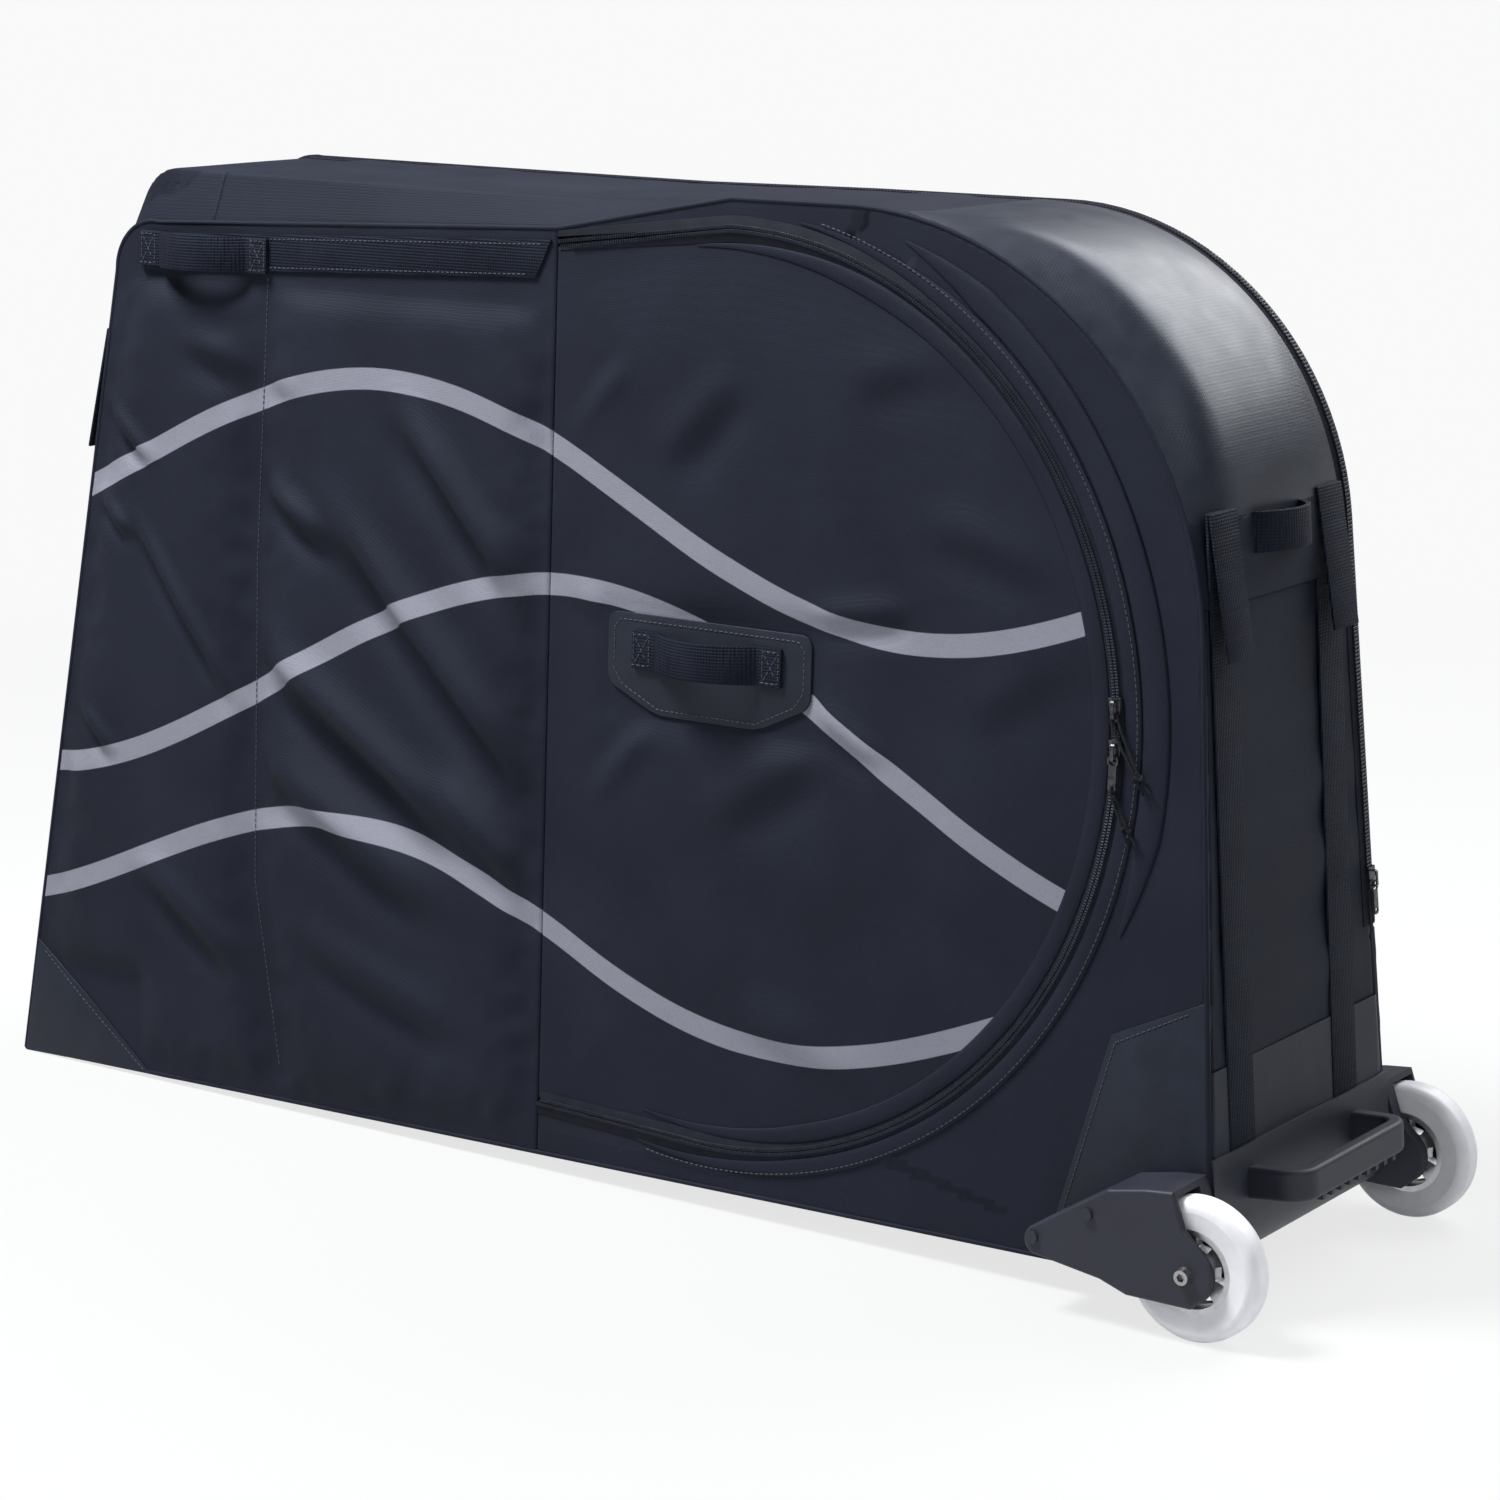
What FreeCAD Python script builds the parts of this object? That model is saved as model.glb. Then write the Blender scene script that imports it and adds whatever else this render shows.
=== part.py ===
# Soft travel case for a bicycle, on two skate wheels, in millimetres.
# X runs along the case to its wheel end, Y runs across it away from the side shown first, Z is up.
# The origin is on the floor, at the middle of the case's length and width.
import FreeCAD, Part
import Sketcher
import math
import os

V = FreeCAD.Vector
doc = FreeCAD.newDocument("bike_case")

# Driving dimensions
sheet = doc.addObject("Spreadsheet::Sheet", "sizes")
driving = (
    # whole case
    ("case_length", 1355),
    ("base_width", 310),
    ("side_lean", 3.1),
    ("wall", 8),
    ("base_rise", 30),
    ("base_corner", 45),
    ("axle_set", 5),
    ("base_trim", 0.1),
    ("seat_gap", 0.3),
    ("end_slope", 0.07),
    ("front_slope", 0.155),
    ("front_corner", 45),
    # crown line of the near side and of the far side
    ("near_shoulder_low", 534),
    ("near_shoulder_back", 385),
    ("near_shoulder_radius", 344),
    ("near_pocket_crown", 24),
    ("near_seam_top", 815),
    ("near_front_top", 797),
    ("far_shoulder_low", 600),
    ("far_shoulder_back", 301),
    ("far_shoulder_radius", 258),
    ("far_pocket_crown", 16),
    ("far_seam_top", 838),
    ("far_front_top", 842),
    ("crown_set", 85),
    # cuts between the panels of the gusset
    ("tray_height", 48),
    ("end_panel_top", 560),
    ("shoulder_length", 315),
    ("front_panel_length", 227.5),
    # big flap of the far side
    ("fold_height", 38),
    ("fold_gap", 0.4),
    ("fold_inset", 200),
    ("flap_corner_inset", 103),
    ("flap_corner_height", 245),
    ("flap_end_height", 285),
    # wheel pockets
    ("pocket_back", 178),
    ("pocket_inset", 105),
    ("pocket_rise", 18),
    ("zip_radius", 384),
    ("pocket_drop", 22),
    ("pocket_lift", 6),
    ("hinge_gap", 0.4),
    ("edge_gap", 2),
    ("bag_reach", 4),
    ("bag_wall", 3),
    ("bag_depth", 45),
    ("shield_radius", 80),
    ("shield_thickness", 2),
    # zip fasteners
    ("tape_width", 11),
    ("tape_thickness", 0.8),
    ("coil_width", 3),
    ("coil_height", 2.6),
    ("coil_gap", 0.3),
    ("slider_length", 19),
    ("slider_width", 11),
    ("slider_plate", 1.6),
    ("slider_clear", 0.4),
    ("pull_clear", 1.2),
    ("bridge_window", 3.4),
    ("bridge_bar", 1.2),
    ("bridge_width", 3),
    ("upper_slider_angle", 5.2),
    ("lower_slider_angle", 0.2),
    ("main_slider_height", 300),
    ("pull_length", 26),
    ("short_pull_length", 18),
    ("pull_width", 7),
    ("pull_plate", 1.2),
    ("pull_eye", 5),
    ("cord_diameter", 2.2),
    ("knot_clear", 0.5),
    # webbing and handles
    ("webbing", 2.5),
    ("patch_thickness", 1.2),
    ("band_height", 38),
    ("band_inset", 5),
    ("band_slant", 16),
    ("band_front", 19),
    ("handle_width", 32),
    ("handle_rise", 24),
    ("handle_span", 104),
    ("handle_foot", 24),
    ("handle_strap", 4),
    ("front_handle_inset", 227.5),
    ("pocket_handle_shift", 8),
    ("pocket_handle_lift", 30),
    ("handle_patch_length", 208),
    ("handle_patch_height", 60),
    ("handle_patch_tab", 24),
    ("strap_spacing", 172),
    ("strap_shift", 10),
    ("strap_width", 40),
    ("strap_top", 632),
    ("tab_length", 115),
    ("tab_angle", 6),
    ("front_strap_top", 700),
    ("end_handle_span", 82),
    ("end_handle_drop", 24),
    ("front_patch_height", 112),
    ("front_patch_length", 165),
    ("rear_patch_length", 151),
    ("rear_patch_height", 256),
    # wheels
    ("wheel_diameter", 115),
    ("wheel_width", 28),
    ("wheel_edge", 9),
    ("wheel_track", 362),
    ("core_radius", 34),
    ("core_rim", 4.5),
    ("core_width", 24),
    ("core_web", 10),
    ("window_inner", 17.5),
    ("bearing_diameter", 22),
    ("bearing_width", 7),
    ("bearing_boss", 4),
    ("axle_diameter", 8),
    ("axle_fit", 0.05),
    ("bolt_head", 15),
    ("bolt_head_height", 6),
    ("hex_socket", 6),
    ("bush_diameter", 14),
    ("bush_play", 0.2),
    # wheel guards, shroud and tow handle
    ("wheel_room", 3),
    ("cheek", 5),
    ("cheek_boss", 24),
    ("guard_reach", 145),
    ("guard_tip", 26),
    ("guard_low", 27),
    ("guard_top_start", 12),
    ("guard_bottom_start", 52),
    ("guard_skin", 4),
    ("guard_round", 3),
    ("rivet_diameter", 10),
    ("rivet_head", 2.5),
    ("shroud_wall", 4),
    ("shroud_height", 132),
    ("shroud_length", 145),
    ("shroud_half", 147),
    ("skid_width", 8),
    ("skid_depth", 4),
    ("skid_pitch", 62),
    ("tow_width", 188),
    ("tow_reach", 50),
    ("tow_bar", 14),
    ("tow_height", 26),
    ("tow_corner", 24),
    ("tow_round", 4),
    ("tow_level", 101),
    ("tow_rib", 5),
    ("tow_rib_depth", 3),
    ("tow_rib_pitch", 15),
    # inside
    ("pad_thickness", 16),
    ("pad_width", 236),
    ("pad_inset", 40),
    ("stay_diameter", 15),
    ("stay_spacing", 100),
    ("stay_clear", 0.5),
    ("end_stay_length", 450),
    ("front_stay_length", 620),
    ("block_length", 170),
    ("block_width", 96),
    ("block_height", 62),
    ("block_notch", 30),
    ("block_place", 60),
)
for row, (alias, number) in enumerate(driving, start=1):
    sheet.set("A%d" % row, alias)
    sheet.set("B%d" % row, "%g" % number)
    sheet.setAlias("B%d" % row, alias)
doc.recompute()


class Size:
    """A length worked out from the sheet: its number, and the expression that binds it to the cells."""

    def __init__(self, number, text):
        self.number = float(number)
        self.text = text

    def join(self, other, sign, number):
        other = other if isinstance(other, Size) else Size(other, "%.6g" % other)
        return Size(number(self.number, other.number), "(%s %s %s)" % (self.text, sign, other.text))

    def __add__(self, other):
        return self.join(other, "+", lambda a, b: a + b)

    def __sub__(self, other):
        return self.join(other, "-", lambda a, b: a - b)

    def __mul__(self, other):
        return self.join(other, "*", lambda a, b: a * b)

    def __truediv__(self, other):
        return self.join(other, "/", lambda a, b: a / b)

    def __rsub__(self, other):
        return Size(other, "%.6g" % other) - self

    def __neg__(self):
        return Size(-self.number, "(0 - %s)" % self.text)

    __radd__ = __add__
    __rmul__ = __mul__


ZERO = Size(0, "0")


def size(alias):
    return Size(sheet.get(alias), "sizes.%s" % alias)


def bind(thing, path, value):
    thing.setExpression(path, value.text)


# Small steps that every sub-part uses
def new_body(name):
    return doc.addObject("PartDesign::Body", name)


def plane_of(body, role):
    return next(part for part in body.Origin.OriginFeatures if part.Role == role)


def new_sketch(body, name, role, lift=ZERO):
    sketch = body.newObject("Sketcher::SketchObject", name)
    sketch.AttachmentSupport = [(plane_of(body, role), "")]
    sketch.MapMode = "FlatFace"
    bind(sketch, ".AttachmentOffset.Base.z", lift)
    return sketch


def draw(sketch, corners):
    """Close an outline of (x, y) corners; a third entry rounds the way to the next corner.
    A positive radius has its centre to the left of the way, a negative one to its right."""
    count = len(corners)
    ends = []
    for index, corner in enumerate(corners):
        following = corners[(index + 1) % count]
        start = V(corner[0].number, corner[1].number, 0)
        stop = V(following[0].number, following[1].number, 0)
        if len(corner) == 2:
            sketch.addGeometry(Part.LineSegment(start, stop), False)
            ends.append((1, 2))
            continue
        radius = corner[2].number
        chord = stop - start
        half = chord.Length / 2
        left = V(-chord.y, chord.x, 0).normalize()
        rise = math.sqrt(max(radius * radius - half * half, 0))
        centre = (start + stop) * 0.5 + left * math.copysign(rise, radius)
        first, last = (start, stop) if radius > 0 else (stop, start)
        turn = [math.atan2(end.y - centre.y, end.x - centre.x) for end in (first, last)]
        circle = Part.Circle(centre, V(0, 0, 1), abs(radius))
        sketch.addGeometry(Part.ArcOfCircle(circle, turn[0], turn[1]), False)
        ends.append((1, 2) if radius > 0 else (2, 1))
    for index, corner in enumerate(corners):
        following = (index + 1) % count
        join = Sketcher.Constraint("Coincident", index, ends[index][1], following, ends[following][0])
        sketch.addConstraint(join)
        for kind, value in (("DistanceX", corner[0]), ("DistanceY", corner[1])):
            number = sketch.addConstraint(Sketcher.Constraint(kind, index, ends[index][0], value.number))
            bind(sketch, "Constraints[%d]" % number, value)
        if len(corner) == 3:
            radius = corner[2] if corner[2].number > 0 else -corner[2]
            number = sketch.addConstraint(Sketcher.Constraint("Radius", index, radius.number))
            bind(sketch, "Constraints[%d]" % number, radius)
    return sketch


def draw_circle(sketch, x, y, radius):
    circle = Part.Circle(V(x.number, y.number, 0), V(0, 0, 1), radius.number)
    index = sketch.addGeometry(circle, False)
    for kind, value in (("DistanceX", x), ("DistanceY", y)):
        number = sketch.addConstraint(Sketcher.Constraint(kind, index, 3, value.number))
        bind(sketch, "Constraints[%d]" % number, value)
    number = sketch.addConstraint(Sketcher.Constraint("Radius", index, radius.number))
    bind(sketch, "Constraints[%d]" % number, radius)
    return sketch


def pad(body, sketch, length, back=False, middle=False):
    feature = body.newObject("PartDesign::Pad", body.Name + "_pad")
    feature.Profile = sketch
    feature.Reversed = back
    feature.SideType = "Symmetric" if middle else "One side"
    bind(feature, "Length", length)
    return feature


def pocket(body, sketch, depth=None, back=False):
    feature = body.newObject("PartDesign::Pocket", body.Name + "_pocket")
    feature.Profile = sketch
    feature.Reversed = back
    if depth is None:
        feature.Type = "ThroughAll"
        feature.SideType = "Symmetric"
    else:
        bind(feature, "Length", depth)
    return feature


def revolve(body, sketch):
    feature = body.newObject("PartDesign::Revolution", body.Name + "_turned")
    feature.Profile = sketch
    feature.ReferenceAxis = (sketch, ["V_Axis"])
    feature.Angle = 360
    return feature


def rounded(body, radius, chosen):
    """Round the edges of a body's last feature that a test on their middle points chooses."""
    doc.recompute()
    base = body.Tip
    names = []
    for number, edge in enumerate(base.Shape.Edges, start=1):
        if chosen(edge.CenterOfMass):
            names.append("Edge%d" % number)
    feature = body.newObject("PartDesign::Fillet", body.Name + "_rounded")
    feature.Base = (base, names)
    bind(feature, "Radius", radius)
    return feature


def boolean(kind, name, base, tool):
    feature = doc.addObject("Part::" + kind, name)
    feature.Base = base
    feature.Tool = tool
    return feature


def together(name, pieces):
    """Separate solids that share one file."""
    group = doc.addObject("Part::Compound", name)
    group.Links = pieces
    return group


def mirrored(name, source):
    feature = doc.addObject("Part::Mirroring", name)
    feature.Source = source
    feature.Normal = V(0, 1, 0)
    return feature


def block(name, low, high):
    """A box between two corners."""
    feature = doc.addObject("Part::Box", name)
    for side, axis in enumerate("xyz"):
        bind(feature, ("Length", "Width", "Height")[side], high[side] - low[side])
        bind(feature, "Placement.Base." + axis, low[side])
    return feature


def place(thing, x=ZERO, y=ZERO, z=ZERO, axis=None, angle=None):
    if axis is not None:
        thing.Placement = FreeCAD.Placement(V(0, 0, 0), FreeCAD.Rotation(axis, angle.number))
        bind(thing, "Placement.Rotation.Angle", angle)
    for name, value in (("x", x), ("y", y), ("z", z)):
        bind(thing, "Placement.Base." + name, value)


# Places along the side view that the pieces share
wall = size("wall")
lean = size("side_lean")
half_width = size("base_width") / 2
wheel_radius = size("wheel_diameter") / 2
front = -(size("case_length") / 2)
axle_x = size("case_length") / 2 - wheel_radius
end_foot = axle_x - size("axle_set")
zip_radius = size("zip_radius")
pocket_x = end_foot - size("pocket_inset") - zip_radius
pocket_height = size("fold_height") + size("pocket_rise") + zip_radius
seam_x = pocket_x - size("pocket_back")
coil_gap = size("coil_gap")
end_lean = Size(math.degrees(math.atan(sheet.get("end_slope"))), "atan(sizes.end_slope) / 1 deg")
front_lean = Size(math.degrees(math.atan(sheet.get("front_slope"))), "atan(sizes.front_slope) / 1 deg")
slack = Size(60, "60")
seat_gap = size("seat_gap")


def end_x(height):
    return end_foot - size("end_slope") * (height - size("base_rise"))


def front_x(height):
    return front + size("front_slope") * height


def pocket_top(side):
    return pocket_height + zip_radius + size(side + "_pocket_crown")


def base_height(x):
    return size("base_rise") * (x - front) / (end_foot - front)


def outline(side, grow=ZERO):
    """The case's side outline, from the front foot round to the front edge, moved out by grow."""
    corner = size("base_corner")
    rounded = size("front_corner")
    low = size(side + "_shoulder_low")
    crown = pocket_top(side)
    front_top = size(side + "_front_top")
    return [
        (front - grow * (size("front_slope") + 1), -grow),
        (end_foot - corner, base_height(end_foot - corner) - grow, corner + grow),
        (end_x(size("base_rise") + corner) + grow, size("base_rise") + corner),
        (end_x(low) + grow, low, size(side + "_shoulder_radius") + grow),
        (end_foot - size(side + "_shoulder_back"), crown + grow),
        (pocket_x, crown + grow),
        (seam_x, size(side + "_seam_top") + grow),
        (front_x(front_top) + rounded, front_top + grow, rounded + grow),
        (front_x(front_top - rounded) - grow, front_top - rounded),
    ]


def leaning_sketch(body, name, side, inset):
    """A sketch on the leaning plane of one side, moved in from its outer face."""
    sketch = new_sketch(body, name, "XZ_Plane")
    turn = -lean if side == "near" else lean
    sketch.AttachmentOffset = FreeCAD.Placement(V(0, 0, 0), FreeCAD.Rotation(V(1, 0, 0), turn.number))
    bind(sketch, ".AttachmentOffset.Rotation.Angle", turn)
    reach = half_width - inset
    bind(sketch, ".AttachmentOffset.Base.z", reach if side == "near" else -reach)
    return sketch


def crown_sketch(body, name):
    """A sketch on the upright plane where the top is highest, a little way in from the near side."""
    return new_sketch(body, name, "XZ_Plane", size("crown_set"))


def outline_loft(body, first, second, grow=ZERO, cut=False):
    """A ruled loft between two outlines, each given as its side and its inset.
    From one side to the other it rises over the crown of the top."""
    kind = "PartDesign::SubtractiveLoft" if cut else "PartDesign::AdditiveLoft"
    sketches = []
    for side, inset in (first, second):
        sketch = leaning_sketch(body, body.Name + "_outline", side, inset)
        sketches.append(draw(sketch, outline(side, grow)))
    if first[0] != second[0]:
        crown = draw(crown_sketch(body, body.Name + "_crown"), outline("far", grow))
        sketches.insert(1, crown)
    loft = body.newObject(kind, body.Name + "_loft")
    loft.Profile = sketches[0]
    loft.Sections = sketches[1:]
    loft.Ruled = True
    return loft


# Gusset: the base, the wheel end, the shoulder, the top and the front, cut from one ring
near_edge = ("near", wall)
far_edge = ("far", wall + size("fold_gap"))
ring = new_body("gusset_ring")
outline_loft(ring, near_edge, far_edge)
outline_loft(ring, near_edge, far_edge, grow=-wall, cut=True)

low_x = front - slack
high_x = -front + slack
top_z = pocket_top("near") + slack
deep = half_width + slack
tray = size("tray_height")
shoulder_x = end_foot - size("shoulder_length")
front_end = front + size("front_panel_length")
gusset_cuts = (
    ("base_slice", (low_x, -deep, -slack), (high_x, deep, tray)),
    ("wheel_end_panel", (shoulder_x, -deep, tray), (high_x, deep, size("end_panel_top"))),
    ("shoulder_panel", (shoulder_x, -deep, size("end_panel_top")), (high_x, deep, top_z)),
    ("top_panel", (front_end, -deep, tray * 2), (shoulder_x, deep, top_z)),
    ("front_end_panel", (low_x, -deep, tray), (front_end, deep, top_z)),
)
slices = []
for label, low, high in gusset_cuts:
    slices.append(boolean("Common", label, ring, block(label + "_cut", low, high)))
under = new_body("under_base")
trim = size("base_trim")
trim_end = end_foot - size("shroud_length") - seat_gap * 4
under_sketch = draw(new_sketch(under, "under_edge", "XZ_Plane"), [
    (low_x, -(slack * 2)),
    (trim_end + slack, -(slack * 2)),
    (trim_end, base_height(trim_end) + trim),
    (low_x, base_height(low_x) + trim),
])
pad(under, under_sketch, deep * 2, middle=True)
nodes = [boolean("Cut", "base_panel", slices[0], under)] + slices[1:]

# Side panels, with the big flap of the far side cut from its sewn skirt
sides = {}
for side in ("near", "far"):
    sides[side] = new_body(side + "_side")
    outline_loft(sides[side], (side, ZERO), (side, wall))


def skirt_region(name, grow):
    """The part of the far side that stays sewn: the strip under the fold and the corner by the wheel."""
    body = new_body(name)
    fold = size("fold_height") + grow
    corner_x = end_foot - size("flap_corner_inset") - grow
    corner_height = size("flap_corner_height") + grow
    sketch = leaning_sketch(body, name + "_edge", "far", ZERO)
    draw(sketch, [
        (low_x, -slack),
        (high_x, -slack),
        (high_x, size("flap_end_height") + grow),
        (corner_x, corner_height),
        (end_foot - size("fold_inset") - grow, fold),
        (low_x, fold),
    ])
    pad(body, sketch, slack * 2, middle=True)
    return body


skirt = skirt_region("skirt_region", ZERO)
flap_clear = skirt_region("flap_clearance", size("fold_gap"))
nodes.append(boolean("Common", "far_skirt", sides["far"], skirt))
main_flap = boolean("Cut", "main_flap", sides["far"], flap_clear)


# Wheel pockets: pieces in the near side's own plane, with X along the case, Y up the side, Z outwards
def near_body(name):
    body = new_body(name)
    place(body, y=-half_width, axis=V(1, 0, 0), angle=90 - lean)
    return body


def pocket_outline(reach, hinge):
    """The pocket's D: a half circle to the wheel end and two runs back to the straight seam."""
    radius = zip_radius + reach
    left = seam_x + hinge
    return [
        (pocket_x, pocket_height - radius, radius),
        (pocket_x + radius, pocket_height, radius),
        (pocket_x, pocket_height + radius),
        (left, pocket_height + radius - size("pocket_drop")),
        (left, pocket_height - radius + size("pocket_lift")),
    ]


hinge_gap = size("hinge_gap")
past_seam = -slack
mouth = near_body("pocket_mouth")
mouth_sketch = draw(new_sketch(mouth, "mouth_edge", "XY_Plane"), pocket_outline(size("edge_gap"), past_seam))
pad(mouth, mouth_sketch, slack, middle=True)
far_mouth = mirrored("far_pocket_mouth", mouth)

ahead = block("ahead_of_seam", (low_x, -deep, -slack), (seam_x, deep, top_z))
behind = block("behind_seam", (seam_x, -deep, -slack), (high_x, deep, top_z))
for side, panel, hole in (("near", sides["near"], mouth), ("far", main_flap, far_mouth)):
    nodes.append(boolean("Common", side + "_front_panel", panel, ahead))
    rear = boolean("Common", side + "_rear", panel, behind)
    nodes.append(boolean("Cut", side + "_pocket_surround", rear, hole))

cover = near_body("near_pocket_flap")
cover_sketch = new_sketch(cover, "cover_edge", "XY_Plane")
draw(cover_sketch, pocket_outline(-size("edge_gap"), hinge_gap))
pad(cover, cover_sketch, wall, back=True)

bag = near_body("near_wheel_bag")
bag_rim = wall
bag_bottom = bag_rim + size("bag_depth")
bag_wall = size("bag_wall")
bag_sketch = new_sketch(bag, "bag_edge", "XY_Plane", -bag_rim)
draw(bag_sketch, pocket_outline(size("bag_reach"), -(bag_wall * 2)))
pad(bag, bag_sketch, size("bag_depth") + bag_wall, back=True)
hollow_sketch = new_sketch(bag, "bag_hollow", "XY_Plane", -bag_rim)
draw(hollow_sketch, pocket_outline(size("bag_reach") - bag_wall, -bag_wall))
pocket(bag, hollow_sketch, size("bag_depth"))

shield = near_body("near_hub_shield")
shield_sketch = new_sketch(shield, "shield_edge", "XY_Plane", -bag_bottom)
draw_circle(shield_sketch, pocket_x, pocket_height, size("shield_radius"))
pad(shield, shield_sketch, size("shield_thickness"))

# Pocket zips: one tape with its coil on the surround, one on the cover
tape = size("tape_thickness")
tape_width = size("tape_width")
coil = size("coil_height")
coil_edge = coil_gap + size("coil_width")
outer_tape = near_body("near_zip_outer")
pad(outer_tape, draw(new_sketch(outer_tape, "tape", "XY_Plane"), pocket_outline(tape_width, hinge_gap)), tape)
pad(outer_tape, draw(new_sketch(outer_tape, "coil", "XY_Plane"), pocket_outline(coil_edge, hinge_gap)), coil)
pocket(outer_tape, draw(new_sketch(outer_tape, "clear", "XY_Plane"), pocket_outline(coil_gap, past_seam)))

inner_tape = near_body("near_zip_inner")
tape_end = hinge_gap + size("coil_width")
pad(inner_tape, draw(new_sketch(inner_tape, "tape", "XY_Plane"), pocket_outline(-coil_gap, tape_end)), coil)
over_tape = new_sketch(inner_tape, "over_tape", "XY_Plane", coil)
pocket(inner_tape, draw(over_tape, pocket_outline(-coil_edge, past_seam)), coil - tape)
pocket(inner_tape, draw(new_sketch(inner_tape, "clear", "XY_Plane"), pocket_outline(-tape_width, past_seam)))


# Grab handles: a webbing strap that arches between two sewn feet
def arch(body, name, x, middle, base, span):
    """The strap's edge view, X along the strap and Y off the face, padded across the strap's width."""
    strap = size("handle_strap")
    rise = size("handle_rise")
    half = span / 2
    foot = half + size("handle_foot")
    inner = half - strap
    outer_radius = (half * half + rise * rise) / (rise * 2)
    inner_radius = (inner * inner + rise * rise) / (rise * 2)
    sketch = draw(new_sketch(body, name, "XZ_Plane", -middle), [
        (x - foot, base),
        (x - inner, base, -inner_radius),
        (x + inner, base),
        (x + foot, base),
        (x + foot, base + strap),
        (x + half, base + strap, outer_radius),
        (x - half, base + strap),
        (x - foot, base + strap),
    ])
    pad(body, sketch, size("handle_width"), middle=True)


webbing = size("webbing")
handle_patch = near_body("near_handle_patch")
patch_half = size("handle_patch_length") / 2
patch_rise = size("handle_patch_height") / 2
grip_x = pocket_x - size("pocket_handle_shift")
grip_height = pocket_height + size("pocket_handle_lift")
patch_foot = patch_half / 2
draw(new_sketch(handle_patch, "patch_edge", "XY_Plane"), [
    (grip_x - patch_half, grip_height - patch_rise),
    (grip_x - patch_foot, grip_height - patch_rise - size("handle_patch_tab")),
    (grip_x + patch_foot, grip_height - patch_rise - size("handle_patch_tab")),
    (grip_x + patch_half, grip_height - patch_rise),
    (grip_x + patch_half, grip_height + patch_rise),
    (grip_x - patch_half, grip_height + patch_rise),
])
pad(handle_patch, handle_patch.Group[0], webbing)
pocket_handle = near_body("near_pocket_handle")
arch(pocket_handle, "strap_edge", grip_x, grip_height, webbing, size("handle_span"))

band = near_body("near_front_band")
band_low = size("band_inset") + size("band_height")
crown_drop = size("near_seam_top") - size("near_front_top")
band_front_x = front_x(size("near_front_top")) + size("front_corner") - size("band_front")
band_end_x = seam_x - size("band_inset")
draw(new_sketch(band, "band_edge", "XY_Plane"), [
    (band_front_x, size("near_front_top") - band_low),
    (band_end_x - size("band_slant"), size("near_seam_top") - band_low),
    (band_end_x, size("near_seam_top") - size("band_inset") * 2),
    (band_front_x, size("near_front_top") - size("band_inset") * 2),
])
pad(band, band.Group[0], webbing)
front_handle = near_body("near_front_handle")
front_handle_x = front + size("front_handle_inset")
crown_slope = crown_drop / (seam_x - band_front_x)
band_middle = size("near_front_top") - band_low + size("band_height") / 2 - size("band_inset") / 2
front_handle_height = band_middle + crown_slope * (front_handle_x - band_front_x)
arch(front_handle, "strap_edge", front_handle_x, front_handle_height, webbing, size("handle_span"))

# Coated corner patches
front_patch = near_body("near_front_patch")
patch_top = size("front_patch_height")
patch_end = front + size("front_patch_length")
draw(new_sketch(front_patch, "patch_edge", "XY_Plane"), [
    (front + tape, tape),
    (patch_end, base_height(patch_end) + tape),
    (front + size("front_patch_length") / 2, patch_top * 0.6),
    (front_x(patch_top) + tape, patch_top),
])
pad(front_patch, front_patch.Group[0], size("patch_thickness"))

rear_patch = near_body("near_rear_patch")
rear_x = end_foot - size("rear_patch_length")
rear_top = size("rear_patch_height")
rear_low = end_foot - size("base_corner")
draw(new_sketch(rear_patch, "patch_edge", "XY_Plane"), [
    (rear_x, base_height(rear_x) + tape),
    (rear_low, base_height(rear_low) + tape, size("base_corner")),
    (end_x(size("base_rise") + size("base_corner")) - tape, size("base_rise") + size("base_corner")),
    (end_x(rear_top) - tape, rear_top),
    (end_foot - size("flap_corner_inset") + size("webbing") * 2, rear_top - size("band_height")),
])
pad(rear_patch, rear_patch.Group[0], size("patch_thickness"))

near_pieces = (cover, bag, shield, outer_tape, inner_tape, handle_patch, pocket_handle, band, front_handle)
for piece in near_pieces:
    nodes.append(piece)
    nodes.append(mirrored(piece.Name.replace("near_", "far_"), piece))
nodes.append(together("corner_patches", [front_patch, rear_patch, mirrored("far_rear_patch", rear_patch)]))

# Main zip: a tape on the gusset and one on the edge of the big flap
coil_start = wall + size("fold_gap") + coil_gap


def far_slab(name, near_face, far_face):
    """A leaning slice of the far side, between two insets from its outer face."""
    body = new_body(name)
    sketch = leaning_sketch(body, name + "_edge", "far", far_face)
    draw(sketch, [(low_x, -slack), (high_x, -slack), (high_x, top_z), (low_x, top_z)])
    pad(body, sketch, near_face - far_face)
    return body


def gusset_skin(name, height, width):
    skin = new_body(name + "_skin")
    outline_loft(skin, near_edge, far_edge, grow=height)
    outline_loft(skin, near_edge, far_edge, cut=True)
    return boolean("Common", name, skin, far_slab(name + "_slab", coil_start + width, coil_start))


def flap_skin(name, height, width):
    skin = new_body(name)
    inner = wall - coil_gap
    outline_loft(skin, ("far", inner - width), ("far", inner), grow=height)
    outline_loft(skin, ("far", inner - width), ("far", inner), cut=True)
    return skin


zip_parts = (
    ("main_zip_gusset", gusset_skin, tape_width),
    ("main_zip_flap", flap_skin, wall - coil_gap * 2),
)
for label, skin, width in zip_parts:
    tape_strip = skin(label + "_tape", tape, width)
    coil_strip = skin(label + "_coil", coil, size("coil_width"))
    both = boolean("Fuse", label + "_whole", tape_strip, coil_strip)
    nodes.append(boolean("Cut", label, both, flap_clear))


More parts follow.
